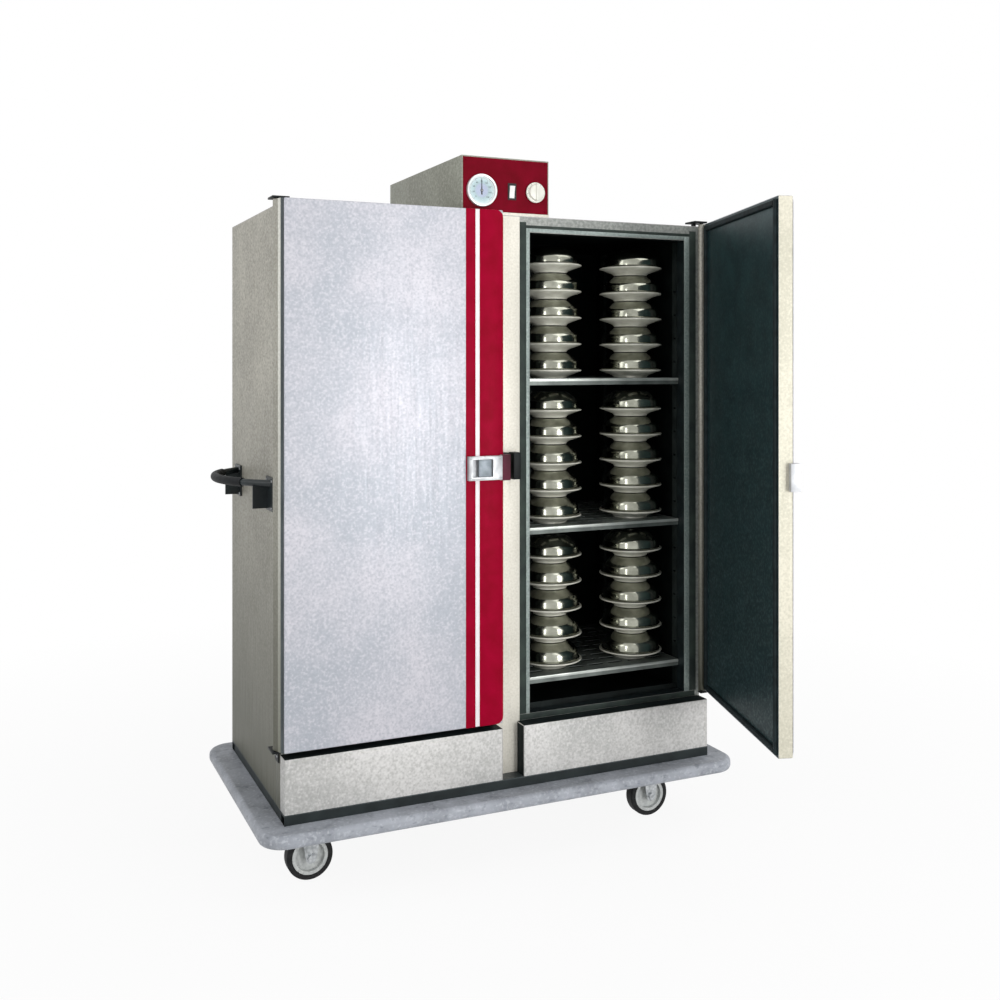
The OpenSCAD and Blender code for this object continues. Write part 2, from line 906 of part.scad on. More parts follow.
// Leaf on the hinge edge of the door, with a bored knuckle all along it that hides the gap
// beside the body
module hinge_leaves() {
    leaf_t = 3;
    color("#3A3B3E")
        translate([0, 0, door_z])
            linear_extrude(door_h)
                difference() {
                    union() {
                        polygon([[0, 8], [-leaf_t, 8], [pin_x - knuckle_r + 1, pin_y - 4],
                            [pin_x, pin_y], [-leaf_t, door_shell_t], [0, door_shell_t]]);
                        translate([pin_x, pin_y])
                            circle(knuckle_r);
                    }
                    translate([pin_x, pin_y])
                        circle(d = hinge_pin_d + 2 * run_fit);
                }
}

// ---------------------------------------------------------------- latches

latch_x1 = door_w - 9;            // right edge of the plate, in door coordinates
latch_x0 = latch_x1 - latch_w;
pocket_x0 = latch_x0 + 11;
pocket_w = 60;
pocket_h = 48;
pocket_depth = latch_t - 3;
paddle_x1 = pocket_x0 + pocket_w - 2;
paddle_t = 4;
paddle_h = pocket_h - 2;
paddle_pin_d = 4;
strike_edge = 4.4;                // clearance between a strike and the door's free edge
strike_x = door_split - strike_edge - strike_w;
tongue_x1 = door_w + door_split - strike_x - 10;
tongue_h = 71;
strike_out = door_t - 12;         // how far the strikes stand out of the mullion
paddle_axis = [paddle_x1 - 4, -latch_t + 6];

// Cast latch body: plate with a pull pocket, and a magnet tongue past the door's edge
module latch_housing() {
    z0 = latch_z - latch_h / 2;
    tongue_y0 = -latch_t + 2;
    tongue_y1 = door_t - strike_out - seat_gap;
    color("#C4C5C9")
        difference() {
            union() {
                translate([latch_x0, -latch_t, z0])
                    cube([latch_w, latch_t - trim_t, latch_h]);
                translate([latch_x1 - 1, tongue_y0, latch_z - tongue_h / 2])
                    cube([door_w + seat_gap - latch_x1 + 1, -trim_t - tongue_y0, tongue_h]);
                translate([door_w + seat_gap, tongue_y0, latch_z - tongue_h / 2])
                    cube([tongue_x1 - door_w - seat_gap, tongue_y1 - tongue_y0, tongue_h]);
            }
            translate([pocket_x0, -latch_t - 1, latch_z - pocket_h / 2])
                cube([pocket_w, pocket_depth + 1, pocket_h]);
            translate([paddle_axis[0], paddle_axis[1], z0 - 1])
                cylinder(d = paddle_pin_d + 2 * run_fit, h = latch_h / 2);
            translate([paddle_axis[0], paddle_axis[1], latch_z])
                cylinder(d = paddle_pin_d + 2 * run_fit, h = latch_h / 2 + 1);
        }
}

// Pull paddle on its own pin, flush in the pocket
module latch_paddle() {
    color("#8E9196")
        translate([0, 0, latch_z]) {
            translate([paddle_x1 - paddle_w, -latch_t + 0.5, -paddle_h / 2])
                cube([paddle_w - 4, paddle_t, paddle_h]);
            translate([paddle_axis[0], paddle_axis[1], -paddle_h / 2])
                cylinder(r = 4, h = paddle_h);
            translate([paddle_axis[0], paddle_axis[1], -latch_h / 2 + 2])
                cylinder(d = paddle_pin_d, h = latch_h - 4);
            translate([paddle_x1 - paddle_w, -latch_t + 0.5, -paddle_h / 2])
                cube([3, paddle_t + 3, paddle_h]);
        }
}

// Steel strikes on the mullion, one for each door's magnet tongue
module door_strikes() {
    strike_h = 75;
    color("#17181A")
        twin_slab(strike_x, strike_x + strike_w, frame_y - strike_out, frame_y, latch_z - strike_h / 2,
            latch_z + strike_h / 2);
}

// ---------------------------------------------------------------- hinges on the body

hinge_lift = 3;                   // gap between a bracket's arm and the door
arm_t = 5;
arm_margin = 4;
arm_in = 22;                      // reach of the upper arm over the roof
bracket_l = 40;                   // bracket behind the pin
foot_t = 4;

// Pivot bracket in door coordinates, its arm lying at z = 0 with the pin pointing down.
// The foot is screwed to the side of the body, from foot_y behind the pin.
module hinge_bracket(inner, foot_y, foot_z, foot_h) {
    translate([pin_x, pin_y, 0])
        rotate([180, 0, 0])
            cylinder(d = hinge_pin_d, h = knuckle_h - 2 + hinge_lift);
    slab(pin_x - knuckle_r - arm_margin, inner, pin_y - knuckle_r - arm_margin, pin_y + bracket_l,
        0, arm_t);
    slab(-foot_t, 0, pin_y + foot_y, pin_y + bracket_l, foot_z, foot_z + foot_h);
}

// The upper foot hangs beside the body behind the door's swing, the lower one under its arm
module hinge_brackets() {
    upper_foot_h = 42;
    lower_foot_h = 30;
    color("#2A2B2E")
        for (s = [0, 1])
            mirror([s, 0, 0])
                on_left_door() {
                    translate([0, 0, door_z + door_h + hinge_lift])
                        hinge_bracket(arm_in, bracket_l / 2, -upper_foot_h, upper_foot_h);
                    translate([0, 0, door_z - hinge_lift])
                        mirror([0, 0, 1])
                            hinge_bracket(0, arm_margin, arm_t, lower_foot_h);
                }
}

// ---------------------------------------------------------------- control box

box_x = box_w / 2;
box_front = frame_y + 6;
panel_t = 2;
panel_edge = 4;
panel_foot = 9;                   // bare foot of the box below the panel
panel_y = box_front - panel_t;    // front of the control panel
box_top = roof_z + box_h;
dial_pos = [-76, roof_z + 66];
rocker_pos = [18, roof_z + 68];
knob_pos = [90, roof_z + 69];
dial_rim = 6;                     // rim of the thermometer round its lens
dial_face = 2;
gland_z = roof_z + 30;
gland_wall = 4;
rocker_w = 20;
rocker_h = 41;
case_out = 7;
shaft_d = 6;
spindle_d = 3;

// Sheet cover of the roof box: top, sides and a louvred back
module control_housing() {
    flange = 14;
    louvre_w = 80;
    louvre_h = 7;
    louvre_in = 35;
    louvre_up = 50;
    louvre_pitch = 18;
    color("#9C9C8C")
        difference() {
            slab(-box_x, box_x, box_front, back_y, roof_z, box_top);
            slab(-box_x + sheet_t, box_x - sheet_t, box_front + sheet_t, back_y - sheet_t,
                roof_z - 1, box_top - sheet_t);
            slab(-box_x + flange, box_x - flange, box_front - 1, box_front + sheet_t + 1,
                roof_z - 1, box_top - flange);
            for (x = [-box_x + louvre_in, box_x - louvre_in - louvre_w])
                for (k = [0:4])
                    translate([x, back_y - sheet_t - 1, roof_z + louvre_up + louvre_pitch * k])
                        cube([louvre_w, sheet_t + 2, louvre_h]);
            translate([0, back_y - sheet_t - 1, gland_z])
                rotate([-90, 0, 0])
                    cylinder(r = gland_r + gland_wall + run_fit, h = sheet_t + 2);
        }
}

// Places a child on the control panel, its +Z pointing out of the panel to the front
module on_panel(pos) {
    translate([pos[0], panel_y, pos[1]])
        rotate([90, 0, 0])
            children();
}

// Red control panel with its cut-outs
module control_panel() {
    color("#A0002E")
        difference() {
            slab(-box_x + panel_edge, box_x - panel_edge, panel_y, box_front,
                roof_z + panel_foot, box_top - panel_edge);
            on_panel(dial_pos)
                translate([0, 0, -panel_t - 1])
                    cylinder(r = dial_r - dial_rim, h = panel_t + 2);
            on_panel(rocker_pos)
                translate([-rocker_w / 2, -rocker_h / 2, -panel_t - 1])
                    cube([rocker_w, rocker_h, panel_t + 2]);
            on_panel(knob_pos)
                translate([0, 0, -panel_t - 1])
                    cylinder(d = 12, h = panel_t + 2);
        }
}

// Thermometer: flanged case behind the panel with its dial face and the pointer's spindle
module thermometer_case() {
    depth = 22;
    color("#D9DADC")
        on_panel(dial_pos) {
            difference() {
                union() {
                    cylinder(r = dial_r, h = case_out);
                    translate([0, 0, -depth])
                        cylinder(r = dial_r - dial_rim, h = depth + 1);
                }
                translate([0, 0, dial_face])
                    cylinder(r = dial_r - dial_rim, h = case_out);
            }
            cylinder(d = spindle_d, h = dial_face + 2.5);
        }
}

// Pointer on the spindle, over the dial face
module thermometer_needle() {
    tip = dial_r - 2 * dial_rim;
    color("#1A1A1A")
        on_panel(dial_pos)
            translate([0, 0, dial_face + seat_gap])
                difference() {
                    union() {
                        cylinder(r = 4, h = 1.6);
                        linear_extrude(0.8)
                            polygon([[-2, -12], [2, -12], [0.6, tip], [-0.6, tip]]);
                    }
                    translate([0, 0, -1])
                        cylinder(d = spindle_d + 2 * run_fit, h = 4);
                }
}

module thermometer_lens() {
    color([0.85, 0.9, 0.92, 0.4])
        on_panel(dial_pos)
            translate([0, 0, case_out - 2])
                cylinder(r = dial_r - dial_rim - run_fit, h = 1.5);
}

// Fittings behind the panel: the switch body with its bezel, and the thermostat with its shaft
module panel_fittings() {
    bezel = 3;
    bezel_t = 1.5;
    depth = 18;
    color("#1E1F21") {
        on_panel(rocker_pos)
            difference() {
                union() {
                    translate([-rocker_w / 2 - bezel, -rocker_h / 2 - bezel, 0])
                        cube([rocker_w + 2 * bezel, rocker_h + 2 * bezel, bezel_t]);
                    translate([-rocker_w / 2, -rocker_h / 2, -depth])
                        cube([rocker_w, rocker_h, depth]);
                }
                translate([-rocker_w / 2 + 2, -rocker_h / 2 + 2, -12])
                    cube([rocker_w - 4, rocker_h - 4, 20]);
                translate([-rocker_w / 2 - 1, 0, -3])
                    rotate([0, 90, 0])
                        cylinder(d = spindle_d + 2 * run_fit, h = rocker_w + 2);
            }
        on_panel(knob_pos) {
            cylinder(d = shaft_d, h = 16);
            translate([0, 0, -panel_t - 30])
                cylinder(r = 18, h = 30);
            translate([0, 0, -panel_t - 1])
                cylinder(d = 11, h = panel_t + 3);
        }
    }
}

// Rocker on a cross pin, tilted to its off side
module rocker_switch() {
    tilt = 10;
    w = rocker_w - 4 - 2 * seat_gap;
    half = rocker_h / 2 - 3;
    color("#E8E8E6")
        on_panel(rocker_pos)
            translate([0, 0, -3])
                rotate([tilt, 0, 0]) {
                    translate([-w / 2, 0, 0])
                        rotate([90, 0, 90])
                            linear_extrude(w)
                                polygon([[-half, 2], [-half, 6], [0, 5], [half, 6], [half, 2], [3, -4],
                                    [-3, -4]]);
                    translate([-rocker_w / 2, 0, 0])
                        rotate([0, 90, 0])
                            cylinder(d = spindle_d, h = rocker_w);
                }
}

// Turned knob with a skirt and a raised grip bar
module thermostat_knob() {
    skirt = 5;
    grip = 20;
    color("#DEDDD8")
        on_panel(knob_pos)
            translate([0, 0, 2 + seat_gap])
                difference() {
                    union() {
                        cylinder(r = knob_r, h = skirt);
                        cylinder(r = knob_r - 7, h = skirt + 9);
                        translate([-3.5, -knob_r + 5, 0])
                            cube([7, 2 * knob_r - 10, grip - 2]);
                    }
                    translate([0, 0, -1])
                        cylinder(d = shaft_d + 2 * run_fit, h = 15.5);
                }
}

heater_z = roof_z + 60;
blower_z = roof_z + 80;
motor_y = frame_y + 185;          // front of the blower motor
motor_shaft_d = 8;

// Tubular heater bent three times, on two end brackets
module heater_element() {
    rod_r = 4;
    bend_r = 12;
    run_l = 150;
    y0 = 20;
    x0 = -3 * bend_r;
    color("#6B5A50")
        translate([0, y0, heater_z]) {
            for (k = [0:3])
                translate([x0 + 2 * k * bend_r, 0, 0])
                    rotate([-90, 0, 0])
                        cylinder(r = rod_r, h = run_l);
            for (k = [0:2])
                translate([x0 + (2 * k + 1) * bend_r, k == 1 ? 0 : run_l, 0])
                    rotate([0, 0, k == 1 ? 180 : 0])
                        rotate_extrude(angle = 180)
                            translate([bend_r, 0])
                                circle(rod_r);
            for (x = [x0, -x0])
                translate([x - 3, -6, roof_z - heater_z])
                    cube([6, 14, heater_z - roof_z + 2]);
        }
}

// Blower motor on its foot, shaft towards the front
module blower_motor() {
    motor_r = 32;
    motor_l = 70;
    shaft_l = 62;
    foot_w = 60;
    foot_l = 50;
    color("#3F4348")
        translate([0, motor_y, blower_z]) {
            rotate([-90, 0, 0])
                cylinder(r = motor_r, h = motor_l);
            rotate([90, 0, 0])
                cylinder(d = motor_shaft_d, h = shaft_l);
            translate([-foot_w / 2, (motor_l - foot_l) / 2, roof_z - blower_z])
                cube([foot_w, foot_l, blower_z - roof_z - motor_r + 6]);
        }
}

// Squirrel-cage wheel on the motor's shaft
module blower_wheel() {
    cage_r = 48;
    cage_l = 45;
    blades = 16;
    end_t = 2;
    ring_w = 10;
    color("#A7A9AB")
        translate([0, motor_y - 6, blower_z])
            rotate([90, 0, 0])
                difference() {
                    union() {
                        cylinder(r = cage_r, h = end_t);
                        cylinder(r = 10, h = 20);
                        translate([0, 0, cage_l])
                            difference() {
                                cylinder(r = cage_r, h = end_t);
                                translate([0, 0, -1])
                                    cylinder(r = cage_r - ring_w, h = end_t + 2);
                            }
                        for (k = [0:blades - 1])
                            rotate([0, 0, 360 / blades * k])
                                translate([cage_r - ring_w + 1, -0.6, end_t / 2])
                                    cube([ring_w - 2, 1.2, cage_l]);
                    }
                    translate([0, 0, -1])
                        cylinder(d = motor_shaft_d + 2 * run_fit, h = cage_l);
                }
}

// Strain-relief gland in the back of the box, bored for the supply cord
module cord_gland() {
    gland_in = 8;
    gland_out = 14;
    color("#242426")
        translate([0, back_y, gland_z])
            rotate([-90, 0, 0])
                difference() {
                    union() {
                        cylinder(r = gland_r + gland_wall + 3, h = nut_t, $fn = 6);
                        translate([0, 0, nut_t - 1])
                            cylinder(r = gland_r + gland_wall, h = gland_out - nut_t + 1);
                        translate([0, 0, -sheet_t - gland_in])
                            cylinder(r = gland_r + gland_wall, h = sheet_t + gland_in + 1);
                    }
                    translate([0, 0, -sheet_t - gland_in - 1])
                        cylinder(r = gland_r, h = sheet_t + gland_in + gland_out + 2);
                }
}

// ---------------------------------------------------------------- push handle

handle_inset = 95;                // front end of the bow behind the frame
handle_y0 = frame_y + handle_inset;
bow_r = (handle_l * handle_l / 4 + handle_out * handle_out) / (2 * handle_out);
bow_half = asin(handle_l / 2 / bow_r);
grip_share = 0.62;                // part of the bow that the grip covers
grip_t = 2.5;
foot_plate_w = 76;
foot_plate_h = 90;
foot_plate_up = 17;               // foot plate over the tube's axis
foot_plate_out = 30;              // foot plate beyond the tube's axis, away from the bow's middle
web_t = 6;
web_y = 24;                       // web from the tube's axis, towards the bow's middle
web_out = 45;
web_drop = 68;

// Part of the bow, from the half angle a before its middle to a behind it
module bow(a) {
    translate([-body_w / 2 - handle_out + bow_r, handle_y0 + handle_l / 2, handle_z])
        rotate([0, 0, 180 - a])
            rotate_extrude(angle = 2 * a)
                translate([bow_r, 0])
                    children();
}

// Bowed tube on the left side of the body, with a foot plate and a web under each end
module push_handle() {
    color("#8F9195") {
        difference() {
            bow(bow_half + 4)
                circle(d = handle_d);
            slab(-body_w / 2 - arm_t / 2, 0, frame_y, back_y, handle_z - 50, handle_z + 50);
        }
        for (e = [0, 1])
            translate([-body_w / 2, handle_y0 + e * handle_l, handle_z])
                mirror([0, e, 0]) {
                    translate([-arm_t, -foot_plate_out, foot_plate_up - foot_plate_h])
                        cube([arm_t, foot_plate_w, foot_plate_h]);
                    translate([-web_out, web_y, -web_drop])
                        cube([web_out - arm_t / 2, web_t, web_drop - handle_d / 2 + 2.5]);
                }
    }
}

// Dark sleeve over the middle of the bow
module handle_grip() {
    color("#1B1C1E")
        bow(bow_half * grip_share)
            difference() {
                circle(d = handle_d + 2 * grip_t);
                circle(d = handle_d + 2 * run_fit);
            }
}

// ---------------------------------------------------------------- assembly

base_frame();
base_deck();
bumper();
caster_plates();
rigid_forks();
frame_bolts();
side_panels();
back_panel();
top_panel();
frame_rails();
plinth_panels();
wall_insulation();
bay_liners();
air_duct();
shelf_uprights();
shelf_clips();
shelves();
heater_element();
blower_motor();
blower_wheel();
control_housing();
control_panel();
panel_fittings();
thermometer_case();
thermometer_needle();
thermometer_lens();
rocker_switch();
thermostat_knob();
cord_gland();
push_handle();
handle_grip();
door_strikes();
hinge_brackets();
plate_stacks();
on_left_door() door_pan();  // left_door_pan
on_left_door() door_insulation();  // left_door_insulation
on_left_door() door_liner();  // left_door_liner
on_left_door() door_gasket();  // left_door_gasket
on_left_door() door_trim();  // left_door_trim
on_left_door() hinge_leaves();  // left_hinge_leaves
on_left_door() latch_housing();  // left_latch_housing
on_left_door() latch_paddle();  // left_latch_paddle
on_right_door() door_pan();  // right_door_pan
on_right_door() door_insulation();  // right_door_insulation
on_right_door() door_liner();  // right_door_liner
on_right_door() door_gasket();  // right_door_gasket
on_right_door() door_trim();  // right_door_trim
on_right_door() hinge_leaves();  // right_hinge_leaves
on_right_door() latch_housing();  // right_latch_housing
on_right_door() latch_paddle();  // right_latch_paddle
front_swivel_fork();
rear_swivel_fork();
front_left_tyre();
rear_left_tyre();
front_right_tyre();
rear_right_tyre();
front_left_hub();
rear_left_hub();
front_right_hub();
rear_right_hub();
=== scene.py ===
import json
from math import cos, pi, radians, sin

import bpy
from mathutils import Matrix, Vector


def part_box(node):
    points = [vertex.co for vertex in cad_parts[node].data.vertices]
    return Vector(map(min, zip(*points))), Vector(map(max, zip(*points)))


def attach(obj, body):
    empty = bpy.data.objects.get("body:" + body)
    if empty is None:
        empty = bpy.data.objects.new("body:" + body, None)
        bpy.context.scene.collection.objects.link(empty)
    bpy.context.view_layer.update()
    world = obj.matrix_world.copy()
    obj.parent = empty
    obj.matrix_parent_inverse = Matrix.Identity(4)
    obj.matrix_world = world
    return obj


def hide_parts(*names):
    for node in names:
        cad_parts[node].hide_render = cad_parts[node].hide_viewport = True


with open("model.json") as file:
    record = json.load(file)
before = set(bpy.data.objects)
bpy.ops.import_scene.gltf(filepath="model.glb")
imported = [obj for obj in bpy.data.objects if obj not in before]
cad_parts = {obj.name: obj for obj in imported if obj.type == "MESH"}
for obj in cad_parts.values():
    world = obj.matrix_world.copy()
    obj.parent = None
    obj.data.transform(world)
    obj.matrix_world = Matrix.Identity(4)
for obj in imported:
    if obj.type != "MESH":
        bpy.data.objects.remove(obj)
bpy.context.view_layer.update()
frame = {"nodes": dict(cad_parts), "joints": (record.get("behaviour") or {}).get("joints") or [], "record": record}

# The room: a white floor under plain soft lamps, and a camera that stands at the left of the
# cabinet, level and a little over two thirds of its height, with its view shifted down.
eye = Vector((-1.359, -3.240, 1.388))
eye_turn = radians(-24.51)
lens = 41.34
view_shift = -0.1377
bpy.ops.object.camera_add(location=eye, rotation=(pi / 2, 0, eye_turn))
camera = bpy.context.object
camera.data.lens = lens
camera.data.shift_y = view_shift
bpy.context.scene.camera = camera
bpy.context.scene.view_settings.view_transform = "Standard"


def linear(code):
    """The linear colour of an sRGB hex code."""
    parts = [int(code[i:i + 2], 16) / 255 for i in (1, 3, 5)]
    return tuple(c / 12.92 if c <= 0.04045 else ((c + 0.055) / 1.055) ** 2.4 for c in parts) + (1,)


def add(tree, kind, feeds, **settings):
    """Adds a node. feeds maps its inputs to values or to the outputs that feed them."""
    node = tree.nodes.new(kind)
    for name, value in settings.items():
        setattr(node, name, value)
    for name, value in feeds.items():
        if isinstance(value, bpy.types.NodeSocket):
            tree.links.new(value, node.inputs[name])
        else:
            node.inputs[name].default_value = value
    return node


def seen_directly(tree):
    """1 for rays from the camera and for those that metal or glass sends on, else 0."""
    path = add(tree, "ShaderNodeLightPath", {})
    both = add(tree, "ShaderNodeMath", {0: path.outputs["Is Camera Ray"], 1: path.outputs["Is Glossy Ray"]},
               operation="MAXIMUM")
    return add(tree, "ShaderNodeMath", {0: both.outputs[0], 1: path.outputs["Is Transmission Ray"]},
               operation="MAXIMUM").outputs[0]


world = bpy.data.worlds.new("white_room")
bpy.context.scene.world = world
world.use_nodes = True
sky = world.node_tree
sky.nodes.clear()
room_light = 0.42
brightness = add(sky, "ShaderNodeMapRange",
                 {"Value": seen_directly(sky), "To Min": room_light, "To Max": 1.0})
backdrop = add(sky, "ShaderNodeBackground", {"Color": linear("#FFFFFF"), "Strength": brightness.outputs[0]})
add(sky, "ShaderNodeOutputWorld", {"Surface": backdrop.outputs[0]})

floor_paint = bpy.data.materials.new("matt_floor_paint")
floor_paint.use_nodes = True
tree = floor_paint.node_tree
tree.nodes.clear()
shade_r = 0.9
clear_r = 3.0
spot = add(tree, "ShaderNodeTexCoord", {}).outputs["Object"]
reach = add(tree, "ShaderNodeVectorMath", {0: spot}, operation="LENGTH").outputs["Value"]
whiteness = add(tree, "ShaderNodeMapRange",
                {"Value": reach, "From Min": shade_r, "From Max": clear_r, "To Min": 0.92, "To Max": 1.0})
paint = add(tree, "ShaderNodeBsdfDiffuse", {"Color": linear("#ECECEC")})
glow = add(tree, "ShaderNodeEmission", {"Color": linear("#FFFFFF"), "Strength": 1.0})
share = add(tree, "ShaderNodeMath", {0: seen_directly(tree), 1: whiteness.outputs[0]}, operation="MULTIPLY")
mixed = add(tree, "ShaderNodeMixShader", {0: share.outputs[0], 1: paint.outputs[0], 2: glow.outputs[0]})
add(tree, "ShaderNodeOutputMaterial", {"Surface": mixed.outputs[0]})
bpy.ops.mesh.primitive_plane_add(size=30, location=(0, 0, 0))
floor = bpy.context.object
floor.name = "floor"
floor.data.materials.append(floor_paint)

lamp_target = Vector((0, 0, 0.9))
for name, place, width, height, power in (
        ("key_lamp", (1.9, -4.6, 0.9), 2.2, 2.0, 50),
        ("left_lamp", (-4.4, -1.2, 3.2), 3.0, 3.0, 55),
        ("high_lamp", (2.2, -3.2, 4.9), 4.0, 4.0, 72),
        ("front_strip_lamp", (1.0, -4.3, 1.3), 0.45, 2.4, 34),
        ("side_strip_lamp", (-2.9, -3.3, 1.3), 0.30, 2.4, 20)):
    bpy.ops.object.light_add(type="AREA", location=place)
    lamp = bpy.context.object
    lamp.name = name
    lamp.data.shape = "RECTANGLE"
    lamp.data.size = width
    lamp.data.size_y = height
    lamp.data.energy = power
    lamp.rotation_euler = (lamp_target - Vector(place)).to_track_quat("-Z", "Y").to_euler()


# Base frame: pressed channels of mild steel, welded and sprayed with a slate enamel, which
# is even and satin, with the fine dimples of orange peel.
def coat(name, metallic, roughness, **fixed):
    """A material with a Principled shader, its tree and the object's coordinates."""
    made = bpy.data.materials.new(name)
    made.use_nodes = True
    tree = made.node_tree
    tree.nodes.clear()
    shader = add(tree, "ShaderNodeBsdfPrincipled", {"Metallic": metallic, "Roughness": roughness, **fixed})
    add(tree, "ShaderNodeOutputMaterial", {"Surface": shader.outputs[0]})
    place = add(tree, "ShaderNodeTexCoord", {}).outputs["Object"]
    return made, tree, shader, place


def speckle(tree, place, size_mm, stretch=(1, 1, 1), detail=3.0):
    """Noise whose patches measure about size_mm, drawn out along an axis where stretch is small."""
    mapped = add(tree, "ShaderNodeMapping", {"Vector": place, "Scale": stretch})
    return add(tree, "ShaderNodeTexNoise",
               {"Vector": mapped.outputs[0], "Scale": 1000 / size_mm, "Detail": detail}).outputs["Fac"]


def blend_tones(tree, amount, low, high, start=0.35, end=0.65):
    """Goes from the colour low to the colour high as amount goes from start to end."""
    ramp = add(tree, "ShaderNodeValToRGB", {"Fac": amount})
    ramp.color_ramp.elements[0].position = start
    ramp.color_ramp.elements[0].color = linear(low)
    ramp.color_ramp.elements[1].position = end
    ramp.color_ramp.elements[1].color = linear(high)
    return ramp.outputs["Color"]


def vary(tree, amount, low, high, start=0.3, end=0.7):
    """A number that goes from low to high as amount goes from start to end."""
    return add(tree, "ShaderNodeMapRange",
               {"Value": amount, "From Min": start, "From Max": end,
                "To Min": low, "To Max": high}).outputs[0]


def overlay(tree, amount, below, above):
    """Lays the colour above over the colour below by amount."""
    return add(tree, "ShaderNodeMix", {0: amount, 6: below, 7: above}, data_type="RGBA").outputs[2]


def raise_grain(tree, shader, height, depth_mm, strength=0.4):
    """Lets height stand up to depth_mm out of the surface."""
    bump = add(tree, "ShaderNodeBump",
               {"Height": height, "Distance": depth_mm / 1000, "Strength": strength})
    tree.links.new(bump.outputs[0], shader.inputs["Normal"])


def enamel(name, low, high, roughness=0.4, specular=0.5, peel_mm=4.0):
    """Sprayed or moulded skin: an even colour that clouds a little, with faint dimples."""
    made, tree, shader, place = coat(name, 0.0, roughness, **{"Specular IOR Level": specular})
    tree.links.new(blend_tones(tree, speckle(tree, place, 60), low, high), shader.inputs["Base Color"])
    raise_grain(tree, shader, speckle(tree, place, peel_mm), 0.15)
    return made


def finish(node, material):
    """Gives a piece of the frame its material."""
    for slot in frame["nodes"][node].material_slots:
        slot.material = material


# Painted shade: the enamel's near-black tone also stands for the shade in the band under the body.
finish("base_frame", enamel("slate_frame_enamel", "#151C1D", "#222A2B", 0.5, 0.25))


# Deck: one sheet of rolled aluminium on the frame. Rolled sheet has soft clouds of tone, small
# flecks and a faint upright grain, here as on all the outer skins.
def rolled_sheet(name, low, high, dark, light, metallic=0.3, roughness=0.46, foot=None, mottled=0.5):
    """Satin aluminium sheet, with painted shade that darkens it towards its foot if a foot colour is given. Its
    mottle is drawn 6 mm wide to show.
    """
    made, tree, shader, place = coat(name, metallic, roughness)
    tone = blend_tones(tree, speckle(tree, place, 220, detail=2.0), low, high)
    mottle = speckle(tree, place, 6, detail=1.5)
    tone = overlay(tree, vary(tree, mottle, mottled, 0.0, 0.32, 0.50), tone, linear(dark))
    tone = overlay(tree, vary(tree, mottle, 0.0, mottled, 0.52, 0.70), tone, linear(light))
    # Painted shade: with a foot colour the sheet darkens towards the floor, nearly fully at 0.35 m and not at all
    # above 1.35 m.
    if foot:
        shade_full_z, shade_clear_z = 0.35, 1.35
        height = add(tree, "ShaderNodeSeparateXYZ", {"Vector": place}).outputs["Z"]
        tone = overlay(tree, vary(tree, height, 0.95, 0.0, shade_full_z, shade_clear_z), tone, linear(foot))
    tree.links.new(tone, shader.inputs["Base Color"])
    grain = speckle(tree, place, 5, stretch=(1, 1, 0.03))
    tree.links.new(vary(tree, grain, roughness - 0.06, roughness + 0.08), shader.inputs["Roughness"])
    raise_grain(tree, shader, grain, 0.05, 0.25)
    return made


# Painted shade: the deck's near-black tone stands for the shade between the body and the bumper.
finish("base_deck", rolled_sheet("deck_shade_aluminium", "#2A3234", "#3A4244", "#22292B", "#4E5658"))


# Bumper: strips of extruded grey vinyl and corner caps that snap round the base. Extruding
# leaves faint lines along them, and use leaves pale rubs and dark scuffs.
vinyl, tree, shader, place = coat("extruded_grey_vinyl", 0.0, 0.5, **{"Specular IOR Level": 0.3})
clouds = blend_tones(tree, speckle(tree, place, 90), "#8E9299", "#A6AAB2")
rubs = vary(tree, speckle(tree, place, 9, detail=2.0), 0.0, 0.6, 0.52, 0.72)
rubbed = overlay(tree, rubs, clouds, linear("#C0C4CA"))
scuffs = vary(tree, speckle(tree, place, 22, stretch=(1, 1, 2), detail=6.0), 0.0, 0.55, 0.56, 0.72)
tree.links.new(overlay(tree, scuffs, rubbed, linear("#5E646A")), shader.inputs["Base Color"])
raise_grain(tree, shader, speckle(tree, place, 8, stretch=(0.1, 0.1, 1)), 0.3)
finish("bumper", vinyl)


# Caster hardware: pressed steel plates, forks and bolts with bright zinc plating, which
# shows as soft bluish spangle with duller patches.
def zinc_plate(name, low="#8E9294", high="#C3C6C8", roughness=0.34):
    """Zinc-plated pressed steel. Its spangle is drawn 9 mm wide to show."""
    made, tree, shader, place = coat(name, 0.85, roughness)
    spangle_mm = 9
    spangle = add(tree, "ShaderNodeTexVoronoi", {"Vector": place, "Scale": 1000 / spangle_mm}, feature="F1")
    tone = blend_tones(tree, spangle.outputs["Distance"], high, low, 0.1, 0.9)
    tree.links.new(tone, shader.inputs["Base Color"])
    patches = speckle(tree, place, 14)
    tree.links.new(vary(tree, patches, roughness - 0.08, roughness + 0.1), shader.inputs["Roughness"])
    raise_grain(tree, shader, patches, 0.08)
    return made


fork_zinc = zinc_plate("zinc_plated_forks")
for node in ("caster_plates", "rigid_forks", "front_swivel_fork", "rear_swivel_fork"):
    finish(node, fork_zinc)
bolt_zinc = zinc_plate("zinc_plated_bolts", "#7F8284", "#AEB0B2", 0.4)
finish("frame_bolts", bolt_zinc)


